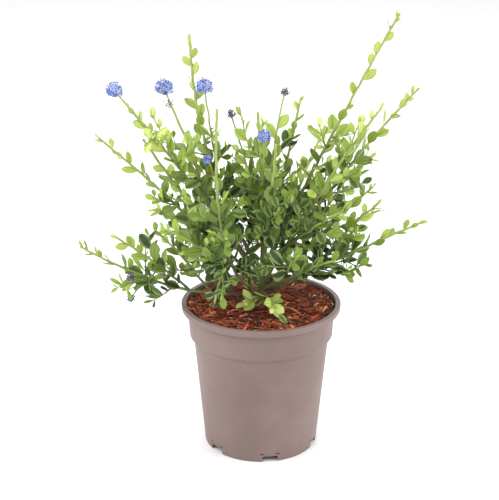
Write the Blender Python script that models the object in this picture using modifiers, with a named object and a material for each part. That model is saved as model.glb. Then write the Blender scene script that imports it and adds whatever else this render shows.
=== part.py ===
"""A young california lilac in a nursery pot, as solids.

The pot stands on the origin with its flat foot, in metres, with +Z up and the front towards -Y.
A short trunk rises from the bark mulch, limbs leave it at several heights, and each limb carries
one mass of foliage: a leader that runs on from the limb, with shoots, sprigs and leaves fused on.
"""

import math
import random
from dataclasses import dataclass, field

import bmesh
import bpy
import numpy as np
from mathutils import Matrix, Vector

# Pot, a round nursery pot 17 cm across
POT_HEIGHT = 0.1606
RIM_RADIUS = 0.085
RIM_DEPTH = 0.0065
RIM_WIDTH = 0.0055
RIM_ROUND = 0.0012
COLLAR_TOP_RADIUS = 0.0782
COLLAR_FOOT_RADIUS = 0.0765
COLLAR_FOOT_HEIGHT = 0.1250
COLLAR_STEP_HEIGHT = 0.0045
BODY_TOP_RADIUS = 0.0722
BODY_FOOT_RADIUS = 0.0610
FOOT_ROUND = 0.0020
WALL = 0.0018
FLOOR = 0.0020
FOOT_RING_WIDTH = 0.0020
DRAIN_RING_WIDTH = 0.0085
DRAIN_RING_HEIGHT = 0.0070
POT_STEPS = 36

# Drain notches in the foot ring, each with a slit above either corner
NOTCH_COUNT = 6
NOTCH_WIDTH = 0.0170
NOTCH_HEIGHT = 0.0068
NOTCH_START_DEGREES = -81.0
SLIT_WIDTH = 0.0016
SLIT_HEIGHT = 0.0030
SLIT_RISE = 0.0105
NOTCH_OVERHANG = 0.0020

# Bark mulch, filling the pot to just under the rim and mounded towards the trunk
GAP = 0.0003
MULCH_EDGE_DROP = 0.0060
MULCH_MOUND = 0.0045
MULCH_FLAT_RADIUS = 0.0160
MULCH_RINGS = 6

# Trunk
TRUNK_HEIGHT = 0.0480
TRUNK_RADIUS = 0.0062
TRUNK_TIP_RADIUS = 0.0030
TRUNK_FLARE = 0.0040
TRUNK_FLARE_HEIGHT = 0.0070
TRUNK_LEAN = Vector((0.0030, 0.0040, 0.0))
TRUNK_POINTS = 8

# Limbs and shoots
LIMB_RADIUS = 0.0026
LIMB_TIP_RADIUS = 0.0017
LIMB_POINTS = 4
LEADER_RADIUS = 0.0016
SHOOT_RADIUS = 0.0012
SPRIG_RADIUS = 0.0009
TIP_RADIUS = 0.00055
LEADER_POINTS = 8
SHOOT_POINTS = 5
SPRIG_POINTS = 2

# Sprigs, the short side twigs that fill the heart of the crown
SPRIG_LENGTH = 0.040
SPRIG_FOOT_SPREAD_DEGREES = 82.0
SPRIG_TOP_SPREAD_DEGREES = 46.0
SPRIG_LIFT = 0.10
SPRIG_UPWARD = 0.35
SPRIG_LAST = 0.60
SPRIG_SHORTEST = 0.010
SPRIG_FEWEST_LEAVES = 2
SPRIG_BARE = 0.2
SPRIG_FORK_SHARE = 3
JITTER = 0.2

# Leaves, a little larger than life because they are fewer
LEAF_LENGTH = 0.0240
LEAF_WIDTH_SHARE = 0.60
LEAF_THICKNESS = 0.0007
LEAF_OBOVATE = 0.20
LEAF_TIP_SHARE = 0.62
LEAF_TILT_DEGREES = 48.0
LEAF_SCATTER = 0.35
LEAF_TRIES = 3
LEAF_TRY_SHRINK = 0.85
LEAF_SPACING = 0.0125
LEADER_INTERNODE = 0.0175
SPRIG_INTERNODE = 0.0135
INTERNODE_SPREAD = 0.6
LAST_LEAF = 0.96
END_LEAF = 0.985
END_LEAF_TILT_DEGREES = 12.0
LEAF_FACES_UP = 0.55
LEAF_FACES_OUT = 0.5
LEAF_FACES_ALONG = 0.3
GOLDEN_ANGLE = math.radians(137.5)

# Blossom heads
FLOWER_RADIUS = 0.0093
FLOWER_FLATNESS = 0.86
BUD_RADIUS = 0.0046

# Clearances between the masses and round the limbs
SPACE_MARGIN = 0.0006
LIMB_MARGIN = 0.0010
MULCH_MARGIN = 0.0010
RIM_MARGIN = 0.0015
SEED = 5805
LINE_STEPS = 48
LIMB_STEPS = 12

UP = Vector((0.0, 0.0, 1.0))


@dataclass
class Shoot:
    """One long shoot, by the place of its tip.

    fork is the share of the leader at which it leaves it, bow its arch above the straight line and
    sweep its arch outwards, as shares of its length, bare the share that has no leaves, and end what
    it carries at its tip.
    """

    tip: tuple
    end: str = "leaves"
    fork: float = 0.3
    bow: float = 0.05
    sweep: float = 0.0
    bare: float = 0.12


@dataclass
class Mass:
    """One mass of foliage and the limb that carries it from the trunk."""

    name: str
    rise: float
    limb: float
    leader: Shoot
    others: list = field(default_factory=list)
    sprigs: int = 7


MASSES = [
    Mass("tall_right", 0.036, 0.032, Shoot((0.1385, 0.025, 0.461), bow=0.04), sprigs=12),
    Mass(
        "right",
        0.027,
        0.030,
        Shoot((0.1555, -0.015, 0.3935), bow=0.05),
        [Shoot((0.105, -0.005, 0.345), fork=0.45)],
        sprigs=12,
    ),
    Mass(
        "right_front",
        0.017,
        0.028,
        Shoot((0.1125, -0.070, 0.386), bow=0.05),
        [Shoot((0.084, -0.080, 0.290), fork=0.12)],
        sprigs=12,
    ),
    Mass(
        "right_low",
        0.007,
        0.034,
        Shoot((0.1655, -0.020, 0.2555), bow=0.02),
        [Shoot((0.092, -0.030, 0.203), fork=0.10), Shoot((0.120, -0.005, 0.270), fork=0.15)],
        sprigs=10,
    ),
    Mass(
        "right_back",
        0.013,
        0.030,
        Shoot((0.125, 0.060, 0.288), bow=0.02),
        [Shoot((0.1304, 0.040, 0.266), fork=0.35), Shoot((0.085, 0.055, 0.310), fork=0.2)],
        sprigs=10,
    ),
    Mass(
        "centre",
        0.048,
        0.0,
        Shoot((-0.004, -0.005, 0.367), end="cut", bare=0.05),
        [
            Shoot((0.041, 0.035, 0.373), fork=0.08, bow=-0.12),
            Shoot((0.024, 0.030, 0.380), end="bud", fork=0.3, bare=0.7),
            Shoot((0.0021, -0.030, 0.3476), end="flower", fork=0.25, bare=0.6),
            Shoot((-0.031, 0.010, 0.3615), end="bud", fork=0.2, bare=0.4),
        ],
        sprigs=14,
    ),
    Mass(
        "upright_left",
        0.034,
        0.030,
        Shoot((-0.0726, 0.030, 0.432), bow=-0.08, sweep=0.14),
        [Shoot((-0.0583, 0.010, 0.389), end="flower", fork=0.3, bare=0.5)],
        sprigs=13,
    ),
    Mass(
        "left_high",
        0.027,
        0.030,
        Shoot((-0.1366, -0.010, 0.3774), bow=0.03),
        [
            Shoot((-0.0987, 0.010, 0.388), end="flower", fork=0.3, bare=0.6),
            Shoot((-0.1443, -0.035, 0.395), end="flower", fork=0.45, bare=0.6),
        ],
        sprigs=11,
    ),
    Mass(
        "left",
        0.020,
        0.030,
        Shoot((-0.1702, 0.030, 0.332), bow=0.02),
        [
            Shoot((-0.1217, 0.020, 0.338), end="cut", fork=0.3, bare=0.3),
            Shoot((-0.1100, 0.005, 0.262), fork=0.08),
        ],
        sprigs=11,
    ),
    Mass(
        "left_low",
        0.008,
        0.034,
        Shoot((-0.1902, 0.0, 0.222), bow=-0.03),
        [
            Shoot((-0.150, -0.022, 0.240), fork=0.25),
            Shoot((-0.136, -0.022, 0.195), end="bud", fork=0.5, bow=0.2, bare=0.9),
            Shoot((-0.115, 0.030, 0.232), fork=0.10),
        ],
        sprigs=10,
    ),
    Mass(
        "front_left",
        0.013,
        0.028,
        Shoot((-0.0436, -0.055, 0.3817), end="cut", bow=-0.34, sweep=0.22),
        [
            Shoot((-0.0486, -0.052, 0.178), fork=0.22, bow=0.25),
            Shoot((-0.098, -0.060, 0.262), fork=0.16, bow=0.05),
        ],
        sprigs=12,
    ),
    Mass("front", 0.027, 0.028, Shoot((0.0133, -0.060, 0.348), end="cut", bow=-0.10), sprigs=14),
    Mass(
        "front_right",
        0.012,
        0.028,
        Shoot((0.0733, -0.062, 0.2286), bow=0.06),
        [Shoot((0.035, -0.095, 0.246), fork=0.1)],
        sprigs=9,
    ),
    Mass(
        "back_left",
        0.014,
        0.030,
        Shoot((-0.088, 0.105, 0.300), bow=0.02),
        [Shoot((-0.120, 0.085, 0.235), fork=0.2)],
        sprigs=11,
    ),
    Mass(
        "back",
        0.027,
        0.030,
        Shoot((0.002, 0.100, 0.372), bow=0.0),
        [Shoot((-0.030, 0.140, 0.270), fork=0.15)],
        sprigs=12,
    ),
    Mass(
        "back_right",
        0.020,
        0.030,
        Shoot((0.070, 0.120, 0.318), bow=0.02),
        [Shoot((0.060, 0.145, 0.230), fork=0.12)],
        sprigs=11,
    ),
    Mass(
        "front_low",
        0.006,
        0.016,
        Shoot((0.014, -0.048, 0.172), bow=0.16, bare=0.0),
        [Shoot((-0.016, -0.040, 0.175), fork=0.1, bare=0.0)],
        sprigs=4,
    ),
]


def collection(name, hidden=False):
    made = bpy.data.collections.new(name)
    bpy.context.scene.collection.children.link(made)
    made.hide_render = hidden
    return made


def material(name, colour, roughness):
    made = bpy.data.materials.new(name)
    made.use_nodes = True
    shader = made.node_tree.nodes["Principled BSDF"]
    shader.inputs["Base Color"].default_value = (*colour, 1.0)
    shader.inputs["Roughness"].default_value = roughness
    shader.inputs["Metallic"].default_value = 0.0
    return made


def place(name, data, into, finish=None):
    """An object from mesh or curve data, in its collection and with its finish."""
    obj = bpy.data.objects.new(name, data)
    into.objects.link(obj)
    if finish:
        data.materials.append(finish)
    return obj


def helper(obj):
    obj.hide_render = True
    obj.display_type = "WIRE"
    return obj


def turned(name, profile, steps, into, finish):
    """A solid of revolution from (radius, height) points that run down its outer side."""
    mesh = bpy.data.meshes.new(name)
    points = [(radius, 0.0, height) for radius, height in profile]
    mesh.from_pydata(points, [(i, i + 1) for i in range(len(points) - 1)], [])
    obj = place(name, mesh, into, finish)
    screw = obj.modifiers.new("Turn", "SCREW")
    screw.steps = steps
    screw.render_steps = steps
    screw.use_merge_vertices = True
    screw.merge_threshold = 0.0001
    screw.use_smooth_shade = False
    return obj


def cut(obj, cutter, title):
    boolean = obj.modifiers.new(title, "BOOLEAN")
    boolean.operation = "DIFFERENCE"
    boolean.object = cutter


def inner_radius(height):
    """The pot's inside radius at a height between its drain ring and the collar's step."""
    share = height / (COLLAR_FOOT_HEIGHT - COLLAR_STEP_HEIGHT)
    return BODY_FOOT_RADIUS + share * (BODY_TOP_RADIUS - BODY_FOOT_RADIUS) - WALL


def rounded(centre, radius, first, last, count=3):
    """Points on an arc in the profile's plane, between two angles in degrees."""
    angles = [math.radians(first + (last - first) * i / (count - 1)) for i in range(count)]
    return [(centre[0] + radius * math.cos(a), centre[1] + radius * math.sin(a)) for a in angles]


def pot_profile():
    step_foot = COLLAR_FOOT_HEIGHT - COLLAR_STEP_HEIGHT
    ring_outer = BODY_FOOT_RADIUS - FOOT_RING_WIDTH
    ring_inner = ring_outer - DRAIN_RING_WIDTH
    rim_foot = POT_HEIGHT - RIM_DEPTH
    inside = [
        (0.0, FLOOR),
        (ring_inner - FLOOR, FLOOR),
        (ring_inner - FLOOR, DRAIN_RING_HEIGHT + FLOOR),
        (inner_radius(DRAIN_RING_HEIGHT + FLOOR), DRAIN_RING_HEIGHT + FLOOR),
        (inner_radius(step_foot), step_foot),
        (COLLAR_FOOT_RADIUS - WALL, COLLAR_FOOT_HEIGHT),
        (RIM_RADIUS - RIM_WIDTH, POT_HEIGHT - RIM_ROUND),
        (RIM_RADIUS - RIM_WIDTH + RIM_ROUND, POT_HEIGHT),
    ]
    rim = rounded((RIM_RADIUS - RIM_ROUND, POT_HEIGHT - RIM_ROUND), RIM_ROUND, 90, 0)
    outside = [
        (RIM_RADIUS - RIM_ROUND / 3, rim_foot),
        (COLLAR_TOP_RADIUS, rim_foot - RIM_ROUND),
        (COLLAR_FOOT_RADIUS, COLLAR_FOOT_HEIGHT),
        (BODY_TOP_RADIUS, step_foot),
    ]
    foot = rounded((BODY_FOOT_RADIUS - FOOT_ROUND, FOOT_ROUND), FOOT_ROUND, 0, -65)
    underside = [
        (ring_outer, 0.0),
        (ring_outer, DRAIN_RING_HEIGHT),
        (ring_inner, DRAIN_RING_HEIGHT),
        (ring_inner, 0.0),
        (0.0, 0.0),
    ]
    return inside + rim + outside + foot + underside


def notch_cutter(index, into):
    """An arched block for one drain notch, with the two slits over its corners."""
    turn = math.radians(NOTCH_START_DEGREES + 360.0 * index / NOTCH_COUNT)
    build = bmesh.new()
    reach = FOOT_RING_WIDTH + DRAIN_RING_WIDTH / 2
    centre_radius = BODY_FOOT_RADIUS - reach / 2 + NOTCH_OVERHANG
    blocks = [((reach, NOTCH_WIDTH, 2 * NOTCH_HEIGHT), (centre_radius, 0.0, 0.0))]
    for side in (-1, 1):
        size = (4 * WALL, SLIT_WIDTH, SLIT_HEIGHT)
        blocks.append((size, (BODY_FOOT_RADIUS, side * NOTCH_WIDTH / 2, SLIT_RISE)))
    for size, spot in blocks:
        matrix = Matrix.Rotation(turn, 4, "Z") @ Matrix.Translation(spot) @ Matrix.Diagonal((*size, 1.0))
        bmesh.ops.create_cube(build, size=1.0, matrix=matrix)
    mesh = bpy.data.meshes.new(f"notch_{index}")
    build.to_mesh(mesh)
    build.free()
    return helper(place(f"notch_{index}", mesh, into))


def make_pot(parts, cutters):
    pot = turned("pot", pot_profile(), POT_STEPS, parts, material("taupe_plastic", (0.30, 0.23, 0.21), 0.5))
    for index in range(NOTCH_COUNT):
        cut(pot, notch_cutter(index, cutters), f"Notch {index}")


def mulch_height(radius):
    """The mulch's surface: flat round the trunk, then falling to the pot's wall."""
    edge = POT_HEIGHT - MULCH_EDGE_DROP
    span = RIM_RADIUS - RIM_WIDTH - MULCH_FLAT_RADIUS
    share = min(1.0, max(0.0, (radius - MULCH_FLAT_RADIUS) / span))
    return edge + MULCH_MOUND * (1.0 + math.cos(math.pi * share)) / 2


def make_mulch(parts):
    step_foot = COLLAR_FOOT_HEIGHT - COLLAR_STEP_HEIGHT
    edge = POT_HEIGHT - MULCH_EDGE_DROP
    wall_run = (POT_HEIGHT - RIM_ROUND - edge) / (POT_HEIGHT - RIM_ROUND - COLLAR_FOOT_HEIGHT)
    wall_top = RIM_RADIUS - RIM_WIDTH
    wall_radius = wall_top + wall_run * (COLLAR_FOOT_RADIUS - WALL - wall_top)
    edge_radius = wall_radius - GAP
    surface = [(0.0, mulch_height(0.0))]
    for i in range(MULCH_RINGS):
        radius = MULCH_FLAT_RADIUS + (edge_radius - MULCH_FLAT_RADIUS) * i / (MULCH_RINGS - 1)
        surface.append((radius, mulch_height(radius)))
    ring_inner = BODY_FOOT_RADIUS - FOOT_RING_WIDTH - DRAIN_RING_WIDTH - FLOOR
    ring_top = DRAIN_RING_HEIGHT + FLOOR + GAP
    side = [
        (COLLAR_FOOT_RADIUS - WALL - GAP, COLLAR_FOOT_HEIGHT),
        (inner_radius(step_foot) - GAP, step_foot),
        (inner_radius(ring_top) - GAP, ring_top),
        (ring_inner - GAP, ring_top),
        (ring_inner - GAP, FLOOR + GAP),
        (0.0, FLOOR + GAP),
    ]
    finish = material("bark_mulch", (0.16, 0.06, 0.03), 0.95)
    turned("mulch", surface + side, POT_STEPS, parts, finish)


def curve_tube(name, path, radii, into, profile=None):
    """A limb or twig as a curve with filled caps: round, or with the given cross-section."""
    data = bpy.data.curves.new(name, "CURVE")
    data.dimensions = "3D"
    data.use_fill_caps = True
    if profile:
        data.bevel_mode = "OBJECT"
        data.bevel_object = profile
    else:
        data.bevel_depth = 1.0
        data.bevel_resolution = 2
    spline = data.splines.new("POLY")
    spline.points.add(len(path) - 1)
    for point, spot, radius in zip(spline.points, path, radii):
        point.co = (*spot, 1.0)
        point.radius = radius
    return place(name, data, into)


def meshed(obj, into, finish=None):
    """The curve as a closed mesh object: its caps are loose until they are welded."""
    graph = bpy.context.evaluated_depsgraph_get()
    mesh = bpy.data.meshes.new_from_object(obj.evaluated_get(graph))
    weld = bmesh.new()
    weld.from_mesh(mesh)
    bmesh.ops.remove_doubles(weld, verts=weld.verts, dist=1e-6)
    bmesh.ops.recalc_face_normals(weld, faces=weld.faces)
    weld.to_mesh(mesh)
    weld.free()
    name = obj.name
    curve = obj.data
    matrix = obj.matrix_world.copy()
    bpy.data.objects.remove(obj)
    bpy.data.curves.remove(curve)
    mesh.name = name
    made = place(name, mesh, into, finish)
    made.matrix_world = matrix
    return made


def trunk_foot():
    return Vector((0.0, 0.0, mulch_height(0.0) + GAP))


def trunk_at(rise):
    """The point of the trunk's middle line at a height above its foot."""
    share = rise / TRUNK_HEIGHT
    return trunk_foot() + UP * rise + TRUNK_LEAN * share * share


def trunk_radius(rise):
    flare = TRUNK_FLARE * math.exp(-rise / TRUNK_FLARE_HEIGHT)
    return TRUNK_RADIUS + (TRUNK_TIP_RADIUS - TRUNK_RADIUS) * rise / TRUNK_HEIGHT + flare


def make_trunk(parts, cutters, finish):
    """The trunk, and a slightly fatter copy of it that trims the limbs' ends."""
    made = []
    for name, grow, into in (("trunk", 0.0, parts), ("trunk_clearance", GAP, cutters)):
        rises = [TRUNK_HEIGHT * (i / (TRUNK_POINTS - 1)) ** 1.5 for i in range(TRUNK_POINTS)]
        path = [trunk_at(rise) for rise in rises]
        radii = [trunk_radius(rise) + grow for rise in rises]
        path[0].z -= grow
        path[-1] += UP * grow
        made.append(meshed(curve_tube(name, path, radii, into), into, finish))
    helper(made[1])
    return made


def bowed(start, tip, bow, count, sweep=0.0):
    """Points from start to tip along an arch, its bow and sweep given as shares of its length."""
    run = tip - start
    outward = Vector((run.x, run.y, 0.0)).normalized()
    middle = (start + tip) / 2 + (UP * bow + outward * sweep) * run.length
    shares = [i / (count - 1) for i in range(count)]
    return [start * (1 - t) ** 2 + middle * 2 * t * (1 - t) + tip * t * t for t in shares]


def lengths_along(path):
    runs = [0.0]
    for a, b in zip(path, path[1:]):
        runs.append(runs[-1] + (b - a).length)
    return runs


def stretch_of(path, first, last, count):
    """Evenly spaced points of the path between two lengths along it."""
    runs = lengths_along(path)
    wanted = np.linspace(first, last, count)
    columns = [np.interp(wanted, runs, [point[axis] for point in path]) for axis in range(3)]
    return [Vector(spot) for spot in zip(*columns)]


def leader_line(mass):
    """The whole run of a mass's leader, from the trunk's middle line to its tip."""
    leader = mass.leader
    return bowed(trunk_at(mass.rise), Vector(leader.tip), leader.bow, LINE_STEPS, leader.sweep)


def shoot_lines(mass):
    """The middle lines of a mass's long shoots, the leader's own first."""
    whole = leader_line(mass)
    length = lengths_along(whole)[-1]
    start = mass.limb + GAP if mass.limb else GAP
    lines = [stretch_of(whole, start, length, LINE_STEPS)]
    for shoot in mass.others:
        foot = lines[0][round(shoot.fork * (LINE_STEPS - 1))]
        lines.append(bowed(foot, Vector(shoot.tip), shoot.bow, LINE_STEPS, shoot.sweep))
    return lines


class Spaces:
    """Which mass each place belongs to: the one whose own limb and shoots pass nearest."""

    def __init__(self):
        self.names = [mass.name for mass in MASSES]
        runs = []
        for mass in MASSES:
            points = leader_line(mass) + [p for line in shoot_lines(mass)[1:] for p in line]
            runs.append(np.array(points))
        self.points = np.concatenate(runs)
        self.starts = np.cumsum([0] + [len(run) for run in runs[:-1]])
        self.limbs = np.concatenate([np.array(limb_path(mass, LIMB_STEPS)) for mass in MASSES if mass.limb])

    def nearest(self, spots):
        gaps = np.linalg.norm(spots[:, None] - self.points[None], axis=2)
        return np.minimum.reduceat(gaps, self.starts, axis=1)

    def holds(self, name, spots, thickness):
        """True where every spot lies in the mass's own space, clear of limbs, trunk, mulch and rim."""
        spots = np.asarray(spots, dtype=float)
        nearest = self.nearest(spots)
        own = self.names.index(name)
        others = np.delete(nearest, own, axis=1).min(axis=1)
        if (others - nearest[:, own] < 2 * (SPACE_MARGIN + thickness)).any():
            return False
        limb_gap = np.linalg.norm(spots[:, None] - self.limbs[None], axis=2).min(axis=1)
        if (limb_gap < LIMB_RADIUS + LIMB_MARGIN + thickness).any():
            return False
        rise = spots[:, 2] - trunk_foot().z
        trunk_gap = np.hypot(spots[:, 0] - TRUNK_LEAN.x, spots[:, 1] - TRUNK_LEAN.y)
        if ((trunk_gap < TRUNK_RADIUS + TRUNK_LEAN.length) & (rise < TRUNK_HEIGHT + GAP)).any():
            return False
        radius = np.hypot(spots[:, 0], spots[:, 1])
        floor = np.array([mulch_height(r) for r in radius]) + MULCH_MARGIN
        over_rim = radius > RIM_RADIUS - RIM_WIDTH - 2 * RIM_MARGIN
        floor = np.where(over_rim, POT_HEIGHT + RIM_MARGIN, floor)
        return bool((spots[:, 2] - thickness > floor).all())


def limb_path(mass, count):
    return stretch_of(leader_line(mass), 0.0, mass.limb, count)


def make_limb(mass, parts, clearance, finish):
    radii = [LIMB_RADIUS + (LIMB_TIP_RADIUS - LIMB_RADIUS) * i / (LIMB_POINTS - 1) for i in range(LIMB_POINTS)]
    name = f"limb_{mass.name}"
    limb = meshed(curve_tube(name, limb_path(mass, LIMB_POINTS), radii, parts), parts, finish)
    cut(limb, clearance, "Clear of the trunk")


def side_way(tangent, turn):
    """A unit vector across the tangent, at an angle round it."""
    across = tangent.cross(UP)
    if across.length < 0.1:
        across = tangent.cross(Vector((1.0, 0.0, 0.0)))
    across.normalize()
    return Matrix.Rotation(turn, 3, tangent) @ across


def tangent_at(path, index):
    last = len(path) - 1
    return (path[min(index + 1, last)] - path[max(index - 1, 0)]).normalized()


@dataclass
class Twig:
    path: list
    radii: list


@dataclass
class Leaf:
    foot: Vector
    way: Vector
    face: Vector
    length: float

    def frame(self):
        side = self.face.cross(self.way).normalized()
        normal = self.way.cross(side)
        turn = Matrix((self.way, side, normal)).transposed()
        return Matrix.Translation(self.foot) @ turn.to_4x4()

    def outline(self):
        half = self.length * LEAF_WIDTH_SHARE / 2
        spots = [(0.3, half), (0.3, -half), (0.75, half), (0.75, -half), (1.0, 0.0), (0.6, 0.0)]
        frame = self.frame()
        return [frame @ Vector((share * self.length, side, 0.0)) for share, side in spots]


class Grower:
    """Grows one mass by the seeded rule and keeps what stays in its own space."""

    def __init__(self, mass, spaces):
        self.mass = mass
        self.spaces = spaces
        self.dice = random.Random(f"{SEED} {mass.name}")
        self.twigs = []
        self.leaves = []

    def grow(self):
        lines = shoot_lines(self.mass)
        shoots = [self.mass.leader] + self.mass.others
        for line, shoot in zip(lines, shoots):
            leader = line is lines[0]
            thick = LEADER_RADIUS if leader else SHOOT_RADIUS
            count = LEADER_POINTS if leader else SHOOT_POINTS
            self.add_twig(line, count, thick)
            self.add_leaves(line, LEADER_INTERNODE, shoot.bare, LEAF_LENGTH, shoot.end)
            self.add_sprigs(line, self.mass.sprigs if leader else self.mass.sprigs // SPRIG_FORK_SHARE)
        return self

    def jitter(self):
        return self.dice.uniform(1.0 - JITTER, 1.0 + JITTER)

    def add_twig(self, line, count, thick):
        picked = stretch_of(line, 0.0, lengths_along(line)[-1], count)
        radii = [thick + (TIP_RADIUS - thick) * i / (count - 1) for i in range(count)]
        self.twigs.append(Twig(picked, radii))

    def add_sprigs(self, line, count):
        turn = self.dice.uniform(0.0, 2 * math.pi)
        for i in range(count):
            share = SPRIG_LAST * i / max(1, count - 1)
            index = round(share * (len(line) - 1))
            tangent = tangent_at(line, index)
            turn += GOLDEN_ANGLE
            spread = SPRIG_FOOT_SPREAD_DEGREES + (SPRIG_TOP_SPREAD_DEGREES - SPRIG_FOOT_SPREAD_DEGREES) * share
            spread = math.radians(spread * self.jitter())
            way = tangent * math.cos(spread) + side_way(tangent, turn) * math.sin(spread)
            way = (way + UP * SPRIG_UPWARD).normalized()
            length = SPRIG_LENGTH * (1.0 - 0.5 * share) * self.jitter()
            tip = line[index] + way * length
            sprig = self.inside(bowed(line[index], tip, -SPRIG_LIFT, LINE_STEPS // 3))
            if lengths_along(sprig)[-1] < SPRIG_SHORTEST:
                continue
            before = len(self.leaves)
            self.add_leaves(sprig, SPRIG_INTERNODE, SPRIG_BARE, LEAF_LENGTH, "leaves")
            if len(self.leaves) - before < SPRIG_FEWEST_LEAVES:
                del self.leaves[before:]
                continue
            self.add_twig(sprig, SPRIG_POINTS, SPRIG_RADIUS)

    def inside(self, line):
        """The part of a sprig that stays in its mass's space."""
        kept = line[:2]
        for spot in line[2:]:
            if not self.spaces.holds(self.mass.name, [spot], SPRIG_RADIUS):
                break
            kept.append(spot)
        return kept

    def add_leaves(self, line, internode, bare, size, end):
        """Leaves at a golden angle from each other, closer together and larger towards the foot."""
        length = lengths_along(line)[-1]
        turn = self.dice.uniform(0.0, 2 * math.pi)
        share = bare
        while share < LAST_LEAF:
            shrink = 1.0 - (1.0 - LEAF_TIP_SHARE) * share
            leaf_size = size * shrink * self.jitter()
            for _ in range(LEAF_TRIES):
                turn += GOLDEN_ANGLE
                if self.try_leaf(line, share, turn, leaf_size, LEAF_TILT_DEGREES):
                    break
                leaf_size *= LEAF_TRY_SHRINK
            gap = internode * (1.0 + INTERNODE_SPREAD * (share - 0.5)) * self.jitter()
            share += gap / length
        if end == "leaves":
            self.try_leaf(line, END_LEAF, turn, size * LEAF_TIP_SHARE, END_LEAF_TILT_DEGREES)

    def try_leaf(self, line, share, turn, length, tilt_degrees):
        index = min(len(line) - 2, int(share * (len(line) - 1)))
        foot = line[index].lerp(line[index + 1], share * (len(line) - 1) - index)
        tangent = tangent_at(line, index)
        tilt = math.radians(tilt_degrees * self.jitter())
        outward = side_way(tangent, turn)
        way = (tangent * math.cos(tilt) + outward * math.sin(tilt)).normalized()
        away = Vector((foot.x, foot.y, 0.0)).normalized()
        chance = Vector([self.dice.gauss(0.0, LEAF_SCATTER) for _ in range(3)])
        face = UP * LEAF_FACES_UP + away * LEAF_FACES_OUT + tangent * LEAF_FACES_ALONG + chance
        leaf = Leaf(foot, way, face.normalized(), length)
        middle = foot + way * length / 2
        if any((middle - other.foot - other.way * other.length / 2).length < LEAF_SPACING for other in self.leaves):
            return False
        if not self.spaces.holds(self.mass.name, leaf.outline(), LEAF_THICKNESS / 2):
            return False
        self.leaves.append(leaf)
        return True


def leaf_blank():
    """One leaf of eight faces, lying along +X from its foot with unit length.

    It is an octahedron set down on one face and flattened, which gives a hexagonal outline. The
    width grows towards the tip.
    """
    build = bmesh.new()
    bmesh.ops.create_uvsphere(build, u_segments=4, v_segments=2, radius=1.0)
    lay_flat = Vector((1.0, 1.0, 1.0)).rotation_difference(UP).to_matrix()
    bmesh.ops.transform(build, matrix=lay_flat.to_4x4(), verts=build.verts)
    corner = max(build.verts, key=lambda v: v.co.x).co
    bmesh.ops.rotate(build, matrix=Matrix.Rotation(-math.atan2(corner.y, corner.x), 3, "Z"), verts=build.verts)
    ring = math.sqrt(2.0 / 3.0)
    wide = ring * math.cos(math.radians(30.0))
    high = math.sqrt(1.0 / 3.0)
    for vert in build.verts:
        along = vert.co.x / ring
        vert.co.x = (along + 1.0) / 2
        vert.co.y *= LEAF_WIDTH_SHARE / 2 / wide * (1.0 + LEAF_OBOVATE * along)
        vert.co.z *= 0.5 / high
    mesh = bpy.data.meshes.new("leaf_blank")
    build.to_mesh(mesh)
    build.free()
    return mesh


def ball(name, radius, flatness, spot, into):
    build = bmesh.new()
    matrix = Matrix.Translation(spot) @ Matrix.Diagonal((radius, radius, radius * flatness, 1.0))
    bmesh.ops.create_icosphere(build, subdivisions=1, radius=1.0, matrix=matrix)
    mesh = bpy.data.meshes.new(name)
    build.to_mesh(mesh)
    build.free()
    return place(name, mesh, into)


def outer_shell(mesh):
    """Drops every island but the largest: the walls of sealed hollows, and scraps."""
    build = bmesh.new()
    build.from_mesh(mesh)
    build.faces.ensure_lookup_table()
    unseen = set(build.faces)
    islands = []
    while unseen:
        stack = [unseen.pop()]
        island = set(stack)
        while stack:
            face = stack.pop()
            for edge in face.edges:
                for other in edge.link_faces:
                    if other in unseen:
                        unseen.remove(other)
                        island.add(other)
                        stack.append(other)
        islands.append(island)
    largest = max(islands, key=len)
    extra = [face for island in islands if island is not largest for face in island]
    bmesh.ops.delete(build, geom=extra, context="FACES")
    build.to_mesh(mesh)
    build.free()


def fuse(stem, pieces):
    """One Boolean union of the stem with everything in the collection, applied."""
    union = stem.modifiers.new("Fuse", "BOOLEAN")
    union.operation = "UNION"
    union.operand_type = "COLLECTION"
    union.collection = pieces
    graph = bpy.context.evaluated_depsgraph_get()
    mesh = bpy.data.meshes.new_from_object(stem.evaluated_get(graph))
    stem.modifiers.clear()
    stem.data = mesh
    for obj in list(pieces.objects):
        bpy.data.objects.remove(obj)
    bpy.data.collections.remove(pieces)
    outer_shell(mesh)


def make_mass(mass, spaces, parts, profile, blank, finish):
    grown = Grower(mass, spaces).grow()
    pieces = collection(f"pieces_{mass.name}", hidden=True)
    name = f"foliage_{mass.name}"
    curves = []
    for i, twig in enumerate(grown.twigs):
        into = pieces if i else parts
        curves.append(curve_tube(f"{name}_{i}" if i else name, twig.path, twig.radii, into, profile))
    tubes = [meshed(curve, pieces if i else parts) for i, curve in enumerate(curves)]
    for i, leaf in enumerate(grown.leaves):
        obj = place(f"{name}_leaf_{i}", blank, pieces)
        size = Matrix.Diagonal((leaf.length, leaf.length, LEAF_THICKNESS, 1.0))
        obj.matrix_world = leaf.frame() @ size
    for i, shoot in enumerate([mass.leader] + mass.others):
        if shoot.end == "flower":
            ball(f"{name}_head_{i}", FLOWER_RADIUS, FLOWER_FLATNESS, shoot.tip, pieces)
        elif shoot.end == "bud":
            ball(f"{name}_head_{i}", BUD_RADIUS, 1.0, shoot.tip, pieces)
    fuse(tubes[0], pieces)
    tubes[0].data.materials.clear()
    tubes[0].data.materials.append(finish)
    print(f"{name}: {len(grown.twigs)} twigs, {len(grown.leaves)} leaves")
    return len(grown.leaves)


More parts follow.
